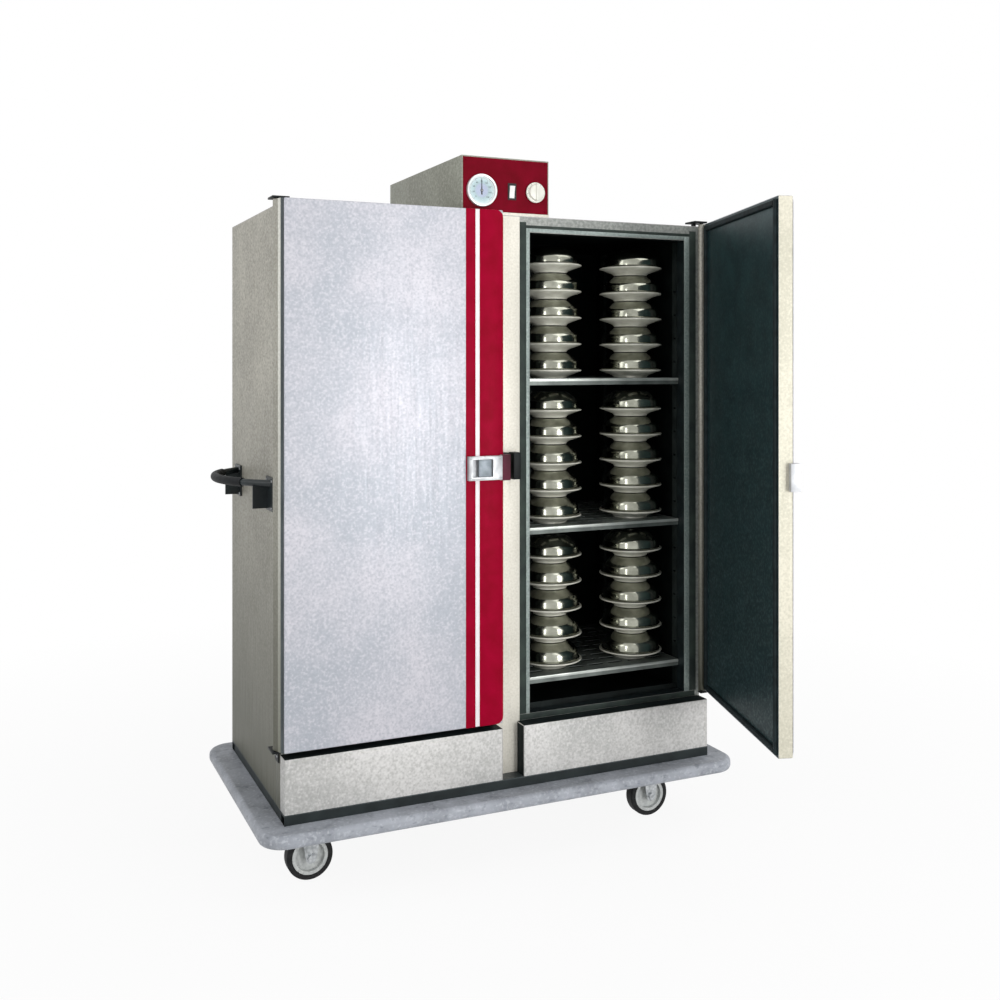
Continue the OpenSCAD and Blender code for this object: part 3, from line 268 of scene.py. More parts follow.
# Wheels: tyres of black rubber moulded on hubs of grey nylon. Dust from the floor greys the
# treads in patches, and the nylon clouds a little as it sets.
tread, tree, shader, place = coat("moulded_black_rubber", 0.0, 0.62, **{"Specular IOR Level": 0.25})
dust = speckle(tree, place, 10, detail=5.0)
tree.links.new(blend_tones(tree, dust, "#0B0C0E", "#232425", 0.45, 0.75), shader.inputs["Base Color"])
raise_grain(tree, shader, speckle(tree, place, 2), 0.2)
hub_nylon, tree, shader, place = coat("moulded_grey_nylon", 0.0, 0.45)
tone = blend_tones(tree, speckle(tree, place, 12), "#B6B9B8", "#D2D5D3")
tree.links.new(tone, shader.inputs["Base Color"])
raise_grain(tree, shader, speckle(tree, place, 3), 0.1)
for corner in ("front_left", "rear_left", "front_right", "rear_right"):
    finish(corner + "_tyre", tread)
    finish(corner + "_hub", hub_nylon)


# Body: folded skins of rolled aluminium sheet round insulation boards, warmer at the sides and back than in front,
# and darker there as painted shade that deepens towards the floor. Strips of a slightly lighter sheet cover the
# front corners, their lighter tone a painted highlight, and domed rivets hold the back and the roof.
def deselect():
    """Leaves object mode with nothing selected, so the next operator meets only its own piece."""
    if bpy.context.object and bpy.context.object.mode != "OBJECT":
        bpy.ops.object.mode_set(mode="OBJECT")
    bpy.ops.object.select_all(action="DESELECT")


def take_up(*pieces):
    """Selects just these pieces and makes the first of them active."""
    deselect()
    for piece in pieces:
        piece.select_set(True)
    bpy.context.view_layer.objects.active = pieces[0]


def block(name, low, high):
    """A box from two corners, ready to be shaped."""
    deselect()
    bpy.ops.mesh.primitive_cube_add(size=1, location=(Vector(low) + Vector(high)) / 2,
                                    scale=Vector(high) - Vector(low))
    bpy.ops.object.transform_apply(location=True, rotation=True, scale=True)
    bpy.context.object.name = name
    return bpy.context.object


def shape(piece, kind, **settings):
    """Adds a modifier to a piece and applies it."""
    take_up(piece)
    step = piece.modifiers.new(kind.lower(), kind)
    for name, value in settings.items():
        setattr(step, name, value)
    bpy.ops.object.modifier_apply(modifier=step.name)


def break_edges(piece, width, segments=2):
    """Rounds the sharp edges of a piece and shades its curves smooth."""
    shape(piece, "BEVEL", width=width, segments=segments, limit_method="ANGLE", angle_limit=radians(35))
    bpy.ops.object.shade_smooth_by_angle(angle=radians(40))


def joined(name, pieces):
    """Makes one piece of several."""
    take_up(*pieces)
    bpy.ops.object.join()
    bpy.context.object.name = name
    return bpy.context.object


def placed_copy(piece, name, place):
    """A copy of a piece with its own mesh, put where the matrix place says."""
    take_up(piece)
    bpy.ops.object.duplicate()
    made = bpy.context.object
    made.name = name
    made.data.transform(place)
    return made


def turned(name, outline, steps=56, smooth=38):
    """A piece of revolution about Z: a point is drawn along the outline and spun round."""
    deselect()
    bpy.ops.mesh.primitive_plane_add(size=0.01, location=(outline[0][0], 0, outline[0][1]))
    piece = bpy.context.object
    piece.name = name
    bpy.ops.object.transform_apply(location=True, rotation=True, scale=True)
    bpy.ops.object.mode_set(mode="EDIT")
    bpy.ops.mesh.select_mode(type="VERT")
    bpy.ops.mesh.select_all(action="SELECT")
    bpy.ops.mesh.merge(type="CENTER")
    for (r0, z0), (r1, z1) in zip(outline, outline[1:]):
        bpy.ops.mesh.extrude_region_move(TRANSFORM_OT_translate={"value": (r1 - r0, 0, z1 - z0)})
    bpy.ops.mesh.select_all(action="SELECT")
    bpy.ops.mesh.spin(steps=steps, angle=2 * pi, center=(0, 0, 0), axis=(0, 0, 1))
    bpy.ops.mesh.select_all(action="SELECT")
    bpy.ops.mesh.remove_doubles(threshold=0.00002)
    bpy.ops.mesh.normals_make_consistent(inside=False)
    bpy.ops.object.mode_set(mode="OBJECT")
    bpy.ops.object.shade_smooth_by_angle(angle=radians(smooth))
    return piece


def fit(piece, body, slot, material, *nodes):
    """Puts a piece on its body, with a finish unless it has its own, and in place of any nodes."""
    if material:
        piece.data.materials.clear()
        piece.data.materials.append(material)
    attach(piece, body)
    if nodes:
        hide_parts(*nodes)


mirror_x = Matrix.Diagonal((-1, 1, 1, 1))


def both_sides(piece, body, slot, material):
    """Fits a piece of the left side and its mirror image on the right side."""
    twin = placed_copy(piece, "right_" + piece.name, mirror_x)
    twin.data.flip_normals()
    piece.name = "left_" + piece.name
    fit(piece, body, slot, material)
    fit(twin, body, slot, material)


side_low, side_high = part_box("side_panels")
# Painted shade: the side and back sheet is darker than the door sheet, and its foot colour darkens it towards the
# floor.
side_sheet = rolled_sheet("side_aluminium", "#99968C", "#ACA99E", "#7C796D", "#C2BFB3", 0.25, 0.5,
                          foot="#4A4B3E", mottled=0.7)
finish("side_panels", side_sheet)
finish("back_panel", side_sheet)
finish("top_panel", rolled_sheet("roof_aluminium", "#A5A3A3", "#B8B6B6", "#93918F", "#C8C6C6"))

strip_t = 0.0006
strip_w = 0.043
# Painted highlight: the corner strips are a lighter sheet than the sides and stand for the light caught along the
# front corners.
corner = block("corner_strip", (side_low.x - strip_t, side_low.y, side_low.z),
               (side_low.x, side_low.y + strip_w, side_high.z))
break_edges(corner, 0.0002)
both_sides(corner, "cabinet", "frame_sheet",
           rolled_sheet("corner_highlight_aluminium", "#A9A79E", "#B8B6AC", "#98968C", "#C6C4BB", foot="#55564A"))

face_front = Matrix.Rotation(pi / 2, 4, "X")
face_back = Matrix.Rotation(-pi / 2, 4, "X")
face_left = Matrix.Rotation(-pi / 2, 4, "Y")
face_right = Matrix.Rotation(pi / 2, 4, "Y")
face_up = Matrix.Identity(4)
rivet = turned("rivet_head", [(0.0042, 0), (0.0038, 0.0010), (0.0024, 0.0019), (0, 0.0023)], 10, 60)
screw = turned("screw_head", [(0.0033, 0), (0.0033, 0.0012), (0.0026, 0.0019), (0.0012, 0.0020),
                              (0.0010, 0.0012), (0, 0.0012)], 12, 40)


def fastened(head, name, turn, points, slot="bolt_zinc", material=bolt_zinc):
    """One piece on the cabinet made of copies of a rivet or screw head, turned to face outwards."""
    heads = [placed_copy(head, name, Matrix.Translation(point) @ turn) for point in points]
    fit(joined(name, heads), "cabinet", slot, material)


rivet_edge = 0.015
rivet_foot = 0.028
rivet_pitch_x = 0.14
rivet_pitch_z = 0.1514
back_sheet_t = 0.0015
back_y = side_high.y + back_sheet_t
rivet_z = [side_low.z + rivet_foot + rivet_pitch_z * k for k in range(11)]
rivet_x = [side_low.x + rivet_edge + rivet_pitch_x * k for k in range(10)]
fastened(rivet, "back_rivets", face_back,
         [(x, back_y, z) for x in (rivet_x[0], rivet_x[-1]) for z in rivet_z]
         + [(x, back_y, z) for x in rivet_x[1:-1] for z in (rivet_z[0], rivet_z[-1])])
roof_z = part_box("top_panel")[1].z
roof_rivet_edge = 0.0115
roof_rivet_pitch = 0.135
fastened(rivet, "roof_rivets", face_up,
         [(s * (side_high.x - roof_rivet_edge), roof_rivet_pitch * k, roof_z)
          for s in (-1, 1) for k in range(-2, 3)])

wool, tree, shader, place = coat("pressed_mineral_wool", 0.0, 0.95)
fibres = speckle(tree, place, 3, stretch=(1, 1, 0.2), detail=6.0)
tree.links.new(blend_tones(tree, fibres, "#A88B3C", "#D6BE74"), shader.inputs["Base Color"])
raise_grain(tree, shader, fibres, 0.8, 0.6)
for node in ("wall_insulation", "left_door_insulation", "right_door_insulation"):
    finish(node, wool)


# Plinth: two kick panels of aluminium sheet below the doors, folded back to the sill on
# three sides with a small radius. The ledge and the inner end are black as painted shade in the gaps under the
# doors and between the panels.
plinth_sheet = rolled_sheet("plinth_aluminium", "#ADADAB", "#C2C1BF", "#979794", "#D3D2D0")
plinth_low, plinth_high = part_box("plinth_panels")
door_split = -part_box("left_door_pan")[1].x
sheet_t = 0.0015
fold_r = 0.003
fold_reach = 0.001
hair = 0.0001


def pick_faces(piece, wanted):
    """Enters edit mode with just the faces selected whose normal passes the test."""
    take_up(piece)
    bpy.ops.object.mode_set(mode="EDIT")
    bpy.ops.mesh.select_all(action="DESELECT")
    bpy.ops.object.mode_set(mode="OBJECT")
    for face in piece.data.polygons:
        face.select = wanted(face.normal)
    bpy.ops.object.mode_set(mode="EDIT")
    bpy.ops.mesh.select_mode(type="FACE")


def folded_pan(name, low, high, is_open):
    """A pan of sheet metal: a box without its open faces, its folds rounded and its wall inside."""
    pan = block(name, low, high)
    pick_faces(pan, is_open)
    bpy.ops.mesh.delete(type="FACE")
    deselect()
    shape(pan, "BEVEL", width=fold_r, segments=4, limit_method="ANGLE")
    shape(pan, "SOLIDIFY", thickness=sheet_t, offset=-1)
    bpy.ops.object.shade_smooth_by_angle(angle=radians(40))
    return pan


plinth = folded_pan("plinth_shell", plinth_low, (-door_split, plinth_high.y, plinth_high.z),
                    lambda normal: normal.y > 0.9 or normal.z < -0.9)
both_sides(plinth, "cabinet", "plinth_sheet", plinth_sheet)
gap_shade_black = enamel("black_gap_shade", "#101617", "#1B2324", 0.6, 0.15)
for side, s in (("left_", -1), ("right_", 1)):
    shell = bpy.data.objects[side + "plinth_shell"]
    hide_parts("plinth_panels")
    shell.data.materials.append(gap_shade_black)
    # Painted shade: black on the ledge and on the inner end.
    for face in shell.data.polygons:
        is_ledge = face.center.z > plinth_high.z - fold_reach
        face.material_index = int(is_ledge or abs(face.center.x - s * door_split) < hair)


# Door frame: folded aluminium rails. A bright cover strip is clipped on the mullion, and each
# bay has a thin grey lip inside a darker channel for the door's seal. The channel's slate also paints
# the shade in the gaps round each bay, and it is wide at the jamb, where the open door shades the rail.
rail_low, rail_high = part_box("frame_rails")
frame_sheet, tree, shader, place = coat("frame_aluminium", 0.3, 0.46)
normal = add(tree, "ShaderNodeNewGeometry", {}).outputs["Normal"]
facing = add(tree, "ShaderNodeSeparateXYZ", {"Vector": normal}).outputs["Y"]
front = add(tree, "ShaderNodeMath", {0: facing, 1: -0.5}, operation="LESS_THAN").outputs[0]
rail_tone = blend_tones(tree, speckle(tree, place, 9, detail=2.0), "#7F827F", "#9DA09B")
# Painted shade: faces that don't look to the front, the reveals of the bays, are coloured near black.
reveal_shade_tone = blend_tones(tree, speckle(tree, place, 30), "#10181A", "#1D2729")
tree.links.new(overlay(tree, front, reveal_shade_tone, rail_tone), shader.inputs["Base Color"])
raise_grain(tree, shader, speckle(tree, place, 5, stretch=(1, 1, 0.03)), 0.05, 0.25)
finish("frame_rails", frame_sheet)


def bars(name, boxes, width):
    """Several bars joined to one piece, with their edges rounded."""
    made = joined(name, [block(name, low, high) for low, high in boxes])
    break_edges(made, width)
    return made


front_y = rail_low.y


def face_strips(name, thickness, width, spans):
    """Flat strips on the front of the rails. A span is a strip's left, foot, right and head."""
    return bars(name, [((left, front_y - thickness, foot), (right, front_y, head))
                       for left, foot, right, head in spans], width)


bright_trim = rolled_sheet("bright_trim_aluminium", "#DDD9CC", "#E8E4D8", "#D2CEC2", "#F0EDE4",
                           0.2, 0.45)
cover_half = 0.0398
cover_gap = 0.0005
cover = face_strips("post_cover", 0.0012, 0.0005,
                    [(-cover_half, rail_low.z, cover_half, rail_high.z - cover_gap)])
fit(cover, "cabinet", "frame_sheet", bright_trim)

bay_foot = 0.3915
lip_head = 1.7690
lip_head_w = 0.0100
post_lip = (-0.0718, -0.0612)
jamb_lip = (-0.6105, -0.5925)
lip = face_strips("bay_lip", 0.00025, 0.0001,
                  [(post_lip[0], bay_foot, post_lip[1], lip_head),
                   (jamb_lip[0], bay_foot, jamb_lip[1], lip_head),
                   (jamb_lip[1], lip_head - lip_head_w, post_lip[0], lip_head)])
both_sides(lip, "cabinet", "frame_sheet",
           rolled_sheet("bay_lip_aluminium", "#7F8B87", "#96A29E", "#6F7B77", "#A8B4B0", 0.2))

channel_head = 1.7860
post_channel = (-0.0610, -0.0402)
jamb_channel = (-0.6340, -0.6107)
head_channel = (1.7692, 1.7775)
sill_channel = (0.3745, 0.3905)
sill_left = -0.6300
channel = face_strips("seal_channel", 0.00022, 0.00008,
                      [(post_channel[0], bay_foot, post_channel[1], channel_head),
                       (jamb_channel[0], bay_foot, jamb_channel[1], channel_head),
                       (jamb_channel[1], head_channel[0], post_channel[0], head_channel[1]),
                       (sill_left, sill_channel[0], post_channel[1], sill_channel[1])])
# Painted shade: the slate strips stand for the seal's seat and for the shade in the gaps beside it.
channel_shade_slate = enamel("slate_channel_shade", "#28302E", "#38423D", 0.6, 0.2)
both_sides(channel, "cabinet", "gasket_rubber", channel_shade_slate)


# Lining of the bays: sheet in a deep greenish grey, near black as painted shade deep in the bays,
# with lighter wiped patches.
def darkened_sheet(name, low, high, roughness=0.4, metallic=0.7):
    """Sheet metal in two tones with soft wiped patches and a fine grain."""
    made, tree, shader, place = coat(name, metallic, roughness)
    wiped = speckle(tree, place, 70, detail=5.0)
    tree.links.new(blend_tones(tree, wiped, low, high), shader.inputs["Base Color"])
    grain = speckle(tree, place, 4, stretch=(1, 1, 0.05))
    tree.links.new(vary(tree, grain, roughness - 0.08, roughness + 0.12), shader.inputs["Roughness"])
    raise_grain(tree, shader, grain, 0.05, 0.3)
    return made


lining = darkened_sheet("shaded_lining_sheet", "#0E1413", "#1C2423", 0.5)
finish("bay_liners", lining)
finish("air_duct", lining)


# Rack: slotted uprights with hooked clips carry perforated shelves. All are pressed steel,
# kept brighter than the lining by the plates that slide over them.
rack_steel = darkened_sheet("worn_rack_steel", "#2C3433", "#464F4D", 0.45, 0.7)
finish("shelf_uprights", rack_steel)
finish("shelf_clips", rack_steel)
finish("shelves", darkened_sheet("worn_shelf_steel", "#5E6461", "#7A817D", 0.42, 0.6))
shelf_low, shelf_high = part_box("shelves")
shelf_mounts = [mount for mount in frame["record"]["mounts"] if "shelf" in mount["name"]]
shelf_tops = sorted({round(mount["pos_m"][2], 4) for mount in shelf_mounts})
# Painted highlight: a bright strip on the upper part of each shelf's front edge stands for the light caught there.
shelf_inner = 0.0735
edge_t = 0.0006
edge_top = 0.0005
edge_foot = 0.0085
edges = bars("shelf_edge", [((-shelf_high.x, shelf_low.y - edge_t, z - edge_foot),
                             (-shelf_inner, shelf_low.y, z - edge_top)) for z in shelf_tops], 0.0003)
both_sides(edges, "cabinet", "shelf_sheet",
           darkened_sheet("shelf_edge_highlight", "#B4BAB4", "#D0D5CF", 0.36, 0.5))


# Load: six stacks of five dinner plates, each under a spun cover. A plate is glazed
# stoneware with a foot ring and a wide rim, and a cover is polished steel with a rolled edge.
# Each outline is a list of radii and heights above the shelf.
plate_r = 0.096
plate_pitch = 0.078
plates_high = 5
plate_outline = [
    (0, 0.005), (0.044, 0.005), (0.047, 0.0005), (0.051, 0.0005), (0.053, 0.004), (0.057, 0.007),
    (0.070, 0.012), (0.084, 0.017), (0.093, 0.0200), (0.0955, 0.0212), (0.096, 0.0232), (0.095, 0.0249),
    (0.091, 0.0246), (0.080, 0.0205), (0.068, 0.0165), (0.056, 0.0118), (0.048, 0.0092), (0, 0.0088)]
cover_outline = [
    (0.0845, 0.0262), (0.0875, 0.0250), (0.0895, 0.0258), (0.0900, 0.0275), (0.0885, 0.0290),
    (0.0855, 0.0300), (0.0850, 0.0440), (0.0838, 0.0490), (0.0810, 0.0530), (0.0765, 0.0580),
    (0.0705, 0.0630), (0.0640, 0.0680), (0.0590, 0.0715), (0.0560, 0.0735), (0.0530, 0.0755),
    (0.0460, 0.0765), (0.0300, 0.0765), (0.0160, 0.0760), (0.0130, 0.0745), (0.0115, 0.0700),
    (0, 0.0695), (0, 0.0685), (0.0125, 0.0690), (0.0145, 0.0740), (0.0300, 0.0750), (0.0450, 0.0752),
    (0.0580, 0.0700), (0.0690, 0.0620), (0.0790, 0.0530), (0.0825, 0.0480), (0.0835, 0.0300)]

stoneware, tree, shader, place = coat("glazed_stoneware", 0.0, 0.16,
                                      **{"Coat Weight": 0.5, "Coat Roughness": 0.06})
tone = blend_tones(tree, speckle(tree, place, 30), "#DAD9CB", "#EDECE0")
tree.links.new(tone, shader.inputs["Base Color"])
raise_grain(tree, shader, speckle(tree, place, 18), 0.1, 0.2)
cover_steel, tree, shader, place = coat("spun_polished_steel", 1.0, 0.16)
rings = speckle(tree, place, 3, stretch=(0.1, 0.1, 1))
tone = blend_tones(tree, speckle(tree, place, 40), "#8E8F83", "#AEAFA2")
tree.links.new(tone, shader.inputs["Base Color"])
tree.links.new(vary(tree, rings, 0.10, 0.22), shader.inputs["Roughness"])
raise_grain(tree, shader, rings, 0.03, 0.3)

plate_pile = turned("plate_pile", plate_outline)
plate_pile.data.materials.append(stoneware)
cover_pile = turned("cover_pile", cover_outline)
cover_pile.data.materials.append(cover_steel)
for pile in (plate_pile, cover_pile):
    shape(pile, "ARRAY", count=plates_high, use_relative_offset=False, use_constant_offset=True,
          constant_offset_displace=(0, 0, plate_pitch))

low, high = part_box("plate_stacks")
stack_spots = [(x, low.y + plate_r, z) for z in shelf_tops for x in (low.x + plate_r, high.x - plate_r)]
for stack, spot in enumerate(stack_spots, start=1):
    for pile in (plate_pile, cover_pile):
        piece = placed_copy(pile, f"{pile.name}_{stack}", Matrix.Translation(spot))
        fit(piece, "cabinet", "plate_cover", None, "plate_stacks")
for pile in (plate_pile, cover_pile):
    bpy.data.objects.remove(pile)


# Doors: each is a folded pan of rolled aluminium round insulation, closed by a dark lining
# sheet with a rubber gasket round it. Each piece is made at the left and hung on both sides.
hinges = {joint["name"]: joint for joint in frame["joints"]}
right_pin = Vector(hinges["right_door_hinge"]["pos_m"])
open_turn = radians(-hinges["right_door_hinge"]["range_deg"][0])
to_right_door = (Matrix.Translation(right_pin) @ Matrix.Rotation(open_turn, 4, "Z")
                 @ Matrix.Translation(-right_pin) @ mirror_x)


def hang(piece, body, slot, node=None):
    """Puts a left door's piece on its body, with a mirrored copy on the right door's body."""
    name = piece.name
    twin = placed_copy(piece, "right_" + name, to_right_door)
    twin.data.flip_normals()
    piece.name = "left_" + name
    for side, made in (("left_", piece), ("right_", twin)):
        fit(made, side + body, slot, None, *([side + node] if node else []))


door_low, door_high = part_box("left_door_pan")
door_sheet = rolled_sheet("door_aluminium", "#AEB2BA", "#C3C2C9", "#A0A4AD", "#D4D2D8", 0.3, 0.46)
shell = folded_pan("door_shell", door_low, door_high, lambda normal: normal.y > 0.9)
shell.data.materials.append(door_sheet)
# Painted light: the free edge gets its own lighter, warmer copy of the door sheet, for the light that falls on
# that edge.
free_edge_tone_sheet = rolled_sheet("door_free_edge_toned", "#C2BFAE", "#D0CCBB", "#B6B3A2", "#DCD8C8", 0.2, 0.5)
shell.data.materials.append(free_edge_tone_sheet)
for face in shell.data.polygons:
    face.material_index = int(face.normal.x > 0.5 and face.center.x > door_high.x - fold_reach)
hang(shell, "door", "door_sheet", "door_pan")

inner_sheet, tree, shader, place = coat("door_lining_sheet", 0.4, 0.42, **{"Specular IOR Level": 0.3})
wiped = blend_tones(tree, speckle(tree, place, 60, detail=5.0), "#132C30", "#213F42")
pale_patches = blend_tones(tree, speckle(tree, place, 8, detail=3.0), "#142C30", "#64797C", 0.46, 0.80)
# Painted light: the pale patches are laid on more strongly towards the bottom of the lining.
height = add(tree, "ShaderNodeSeparateXYZ", {"Vector": place}).outputs["Z"]
tone = overlay(tree, vary(tree, height, 0.75, 0.2, 0.5, 1.7), wiped, pale_patches)
tree.links.new(tone, shader.inputs["Base Color"])
raise_grain(tree, shader, speckle(tree, place, 4, stretch=(1, 1, 0.05)), 0.05, 0.3)
seal_rubber, tree, shader, place = coat("extruded_seal_rubber", 0.0, 0.7, **{"Specular IOR Level": 0.2})
tone = blend_tones(tree, speckle(tree, place, 20), "#11191B", "#1F2A2D")
tree.links.new(tone, shader.inputs["Base Color"])
raise_grain(tree, shader, speckle(tree, place, 5, stretch=(1, 1, 0.1)), 0.1)
for side in ("left", "right"):
    finish(side + "_door_liner", inner_sheet)
    finish(side + "_door_gasket", seal_rubber)


# Accent strips: a narrow and a wide band of red enamelled sheet bonded flat on each door, with
# bare edges. A white line is laid between them.
def red_sheet(name, low, high):
    """Red stoved enamel, deep and even, with little of the room's light on it."""
    made, tree, shader, place = coat(name, 0.0, 0.45, **{"Specular IOR Level": 0.05})
    tree.links.new(blend_tones(tree, speckle(tree, place, 50), low, high), shader.inputs["Base Color"])
    raise_grain(tree, shader, speckle(tree, place, 5), 0.08)
    return made


red_enamel = red_sheet("red_stoved_enamel", "#900022", "#9F002B")
white_enamel = enamel("white_gloss_enamel", "#ECE4E6", "#F6F1F2", 0.35)
low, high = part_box("left_door_trim")
thin_w = 0.0285
line_w = 0.0125
corner_r = 0.020


def pick_edges(piece, wanted):
    """Enters edit mode with just the edges selected whose two ends pass the test."""
    take_up(piece)
    bpy.ops.object.mode_set(mode="EDIT")
    bpy.ops.mesh.select_mode(type="EDGE")
    bpy.ops.mesh.select_all(action="DESELECT")
    bpy.ops.object.mode_set(mode="OBJECT")
    for edge in piece.data.edges:
        edge.select = wanted(*(piece.data.vertices[v].co for v in edge.vertices))
    bpy.ops.object.mode_set(mode="EDIT")


band_pieces = []
for x0, x1 in ((low.x, low.x + thin_w), (low.x + thin_w + line_w, high.x)):
    band = block("door_bands", (x0, low.y, low.z), (x1, high.y, high.z))
    if x1 == high.x:
        pick_edges(band, lambda one, other: (min(one.x, other.x) > high.x - hair
                                             and abs(one.z - other.z) < hair))
        bpy.ops.mesh.bevel(offset=corner_r, segments=10, affect="EDGES")
        bpy.ops.object.mode_set(mode="OBJECT")
    band_pieces.append(band)
bands = joined("door_bands", band_pieces)
break_edges(bands, 0.0003)
bands.data.materials.append(red_enamel)
bands.data.materials.append(door_sheet)
for face in bands.data.polygons:
    face.material_index = int(face.normal.y > -0.5)
hang(bands, "door", "trim_red", "door_trim")
line_gap = 0.0002
line_sunk = 0.0004
line_short = 0.001
line = block("door_line", (low.x + thin_w + line_gap, low.y + line_sunk, low.z + line_short),
             (low.x + thin_w + line_w - line_gap, high.y, high.z - line_short))
line.data.materials.append(white_enamel)
break_edges(line, 0.0002)
hang(line, "door", "trim_red")


# Latches: die-cast bodies with a sprung pull paddle, satin chromed with soft edges, and screwed
# to the doors at four corners. The nose of the left one is coloured maroon as painted shade; the right one's stays
# chrome.
def satin_chrome(name, low, high, roughness=0.34, metallic=0.6):
    """Satin-chromed zinc casting."""
    made, tree, shader, place = coat(name, metallic, roughness)
    tree.links.new(blend_tones(tree, speckle(tree, place, 15), low, high), shader.inputs["Base Color"])
    raise_grain(tree, shader, speckle(tree, place, 3), 0.05)
    return made


def softened(node, name, width, segments=2):
    """A copy of a CAD piece with its edges rounded off."""
    made = bpy.data.objects.new(name, frame["nodes"][node].data.copy())
    bpy.context.collection.objects.link(made)
    made.data.materials.clear()
    take_up(made)
    bpy.ops.object.mode_set(mode="EDIT")
    bpy.ops.mesh.select_all(action="SELECT")
    bpy.ops.mesh.remove_doubles(threshold=0.00001)
    bpy.ops.mesh.dissolve_limited(angle_limit=radians(1))
    deselect()
    break_edges(made, width, segments)
    return made


latch_chrome = satin_chrome("satin_chrome_latch", "#B3B5B8", "#C6C8CA", 0.42, 0.4)
nose_start = -0.0408
nose_shade_maroon = enamel("painted_shade_nose", "#38121C", "#5A2032", 0.5, 0.2)
latch = softened("left_latch_housing", "latch_body", 0.0012, 3)
latch.data.materials.append(latch_chrome)
latch.data.materials.append(nose_shade_maroon)
# Painted shade: the left latch's nose is coloured maroon.
for face in latch.data.polygons:
    face.material_index = int(face.center.x > nose_start)
hang(latch, "door", "latch_cast", "latch_housing")
for face in bpy.data.objects["right_latch_body"].data.polygons:
    face.material_index = 0
paddle = softened("left_latch_paddle", "latch_pull", 0.0008)
paddle.data.materials.append(satin_chrome("satin_chrome_paddle", "#7A8389", "#8E969E", 0.45, 0.4))
hang(paddle, "paddle", "paddle_cast", "latch_paddle")

latch_low, latch_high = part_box("left_latch_housing")
latch_mid_z = (latch_low.z + latch_high.z) / 2
latch_screw_x = (latch_low.x + 0.0055, -0.0468)
latch_screw_rise = 0.0275
latch_points = [(x, latch_low.y, latch_mid_z + s * latch_screw_rise)
                for x in latch_screw_x for s in (-1, 1)]
latch_screws = joined("latch_screws", [
    placed_copy(screw, "latch_screws", Matrix.Translation(point) @ face_front) for point in latch_points])
latch_screws.data.materials.append(bolt_zinc)
hang(latch_screws, "door", "latch_cast")


# Hinges and strikes: pivot brackets screwed to the sides and strikes on the post, pressed in
# steel and enamelled black. Each door turns on a full-height aluminium leaf, with a dark band in front as painted
# shade and a bright band behind it as a painted highlight.
black_enamel = enamel("black_hinge_enamel", "#090C0D", "#131819", 0.5, 0.2)
leaf = softened("left_hinge_leaves", "hinge_leaf", 0.0004)
leaf_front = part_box("left_hinge_leaves")[0].y
# Painted shade and highlight: the leaf is cut into a dark front band, a bright band and the rest.
shade_band_w = 0.008
highlight_band_w = 0.010
leaf_breaks = (leaf_front + shade_band_w, leaf_front + shade_band_w + highlight_band_w)
for y in leaf_breaks:
    take_up(leaf)
    bpy.ops.object.mode_set(mode="EDIT")
    bpy.ops.mesh.select_all(action="SELECT")
    bpy.ops.mesh.bisect(plane_co=(0, y, 0), plane_no=(0, 1, 0))
    bpy.ops.object.mode_set(mode="OBJECT")
leaf.data.materials.append(enamel("leaf_shade_enamel", "#3B4345", "#4C5456", 0.5, 0.3))
leaf.data.materials.append(
    rolled_sheet("leaf_highlight_aluminium", "#CFCFC6", "#DEDED6", "#C0C0B8", "#EAEAE4", foot="#6A6B5E"))
leaf.data.materials.append(
    rolled_sheet("hinge_aluminium", "#97958C", "#A8A69C", "#858379", "#B8B6AC", foot="#4A4B3E"))
for face in leaf.data.polygons:
    face.material_index = sum(face.center.y > y for y in leaf_breaks)
hang(leaf, "door", "hinge_black", "hinge_leaves")
for node, slot, width in (("door_strikes", "strike_black", 0.0012),
                          ("hinge_brackets", "hinge_black", 0.0010)):
    fit(softened(node, node + "_enamelled", width), "cabinet", slot, black_enamel, node)
bracket_t = 0.004
bracket_x = side_high.x + bracket_t
top_screw_y = -0.274
foot_screw_z = 0.366
hinge_screw_spots = ((top_screw_y, 1.778), (top_screw_y, 1.798),
                     (-0.291, foot_screw_z), (-0.272, foot_screw_z))
for name, side, turn in (("hinge_screws_left", -1, face_left), ("hinge_screws_right", 1, face_right)):
    fastened(screw, name, turn, [(side * bracket_x, y, z) for y, z in hinge_screw_spots])


# Roof box: a folded aluminium cover with a red enamelled front that carries the thermometer,
# the rocker switch and the thermostat. Heater and blower sit inside it.
box_low, box_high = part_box("control_housing")
panel_low, panel_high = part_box("control_panel")
box_sheet = rolled_sheet("box_aluminium", "#838478", "#989A8E", "#6F7165", "#ABADA1", 0.25, 0.5)
housing = softened("control_housing", "roof_box_cover", 0.0007)
fit(housing, "cabinet", "box_sheet", box_sheet, "control_housing")
foot_strip_t = 0.0014
roof_gap = 0.0002
panel_gap = 0.0003
foot_strip = bars("box_foot_strip", [((box_low.x, box_low.y - foot_strip_t, box_low.z + roof_gap),
                                      (box_high.x, box_low.y, panel_low.z - panel_gap))], 0.0005)
fit(foot_strip, "cabinet", "box_sheet", bright_trim)
panel_enamel = red_sheet("deep_red_stoved_enamel", "#6A0014", "#79001C")
finish("control_panel", panel_enamel)
panel_screw_x = 0.1235
panel_screw_edge = 0.007
fastened(screw, "panel_screws", face_front,
         [(s * panel_screw_x, panel_low.y, z) for s in (-1, 1)
          for z in (panel_low.z + panel_screw_edge, panel_high.z - panel_screw_edge)],
         slot="panel_red", material=panel_enamel)
box_screw_rise = 0.013
box_screw_pitch = 0.26
for name, side, turn in (("box_screws_left", -1, face_left), ("box_screws_right", 1, face_right)):
    fastened(screw, name, turn,
             [(side * box_high.x, box_screw_pitch * k, roof_z + box_screw_rise) for k in (-1, 0, 1)])
black_nylon = enamel("moulded_black_nylon", "#121314", "#1E1F20", 0.5, 0.3, 3.0)
finish("panel_fittings", black_nylon)
finish("cord_gland", black_nylon)
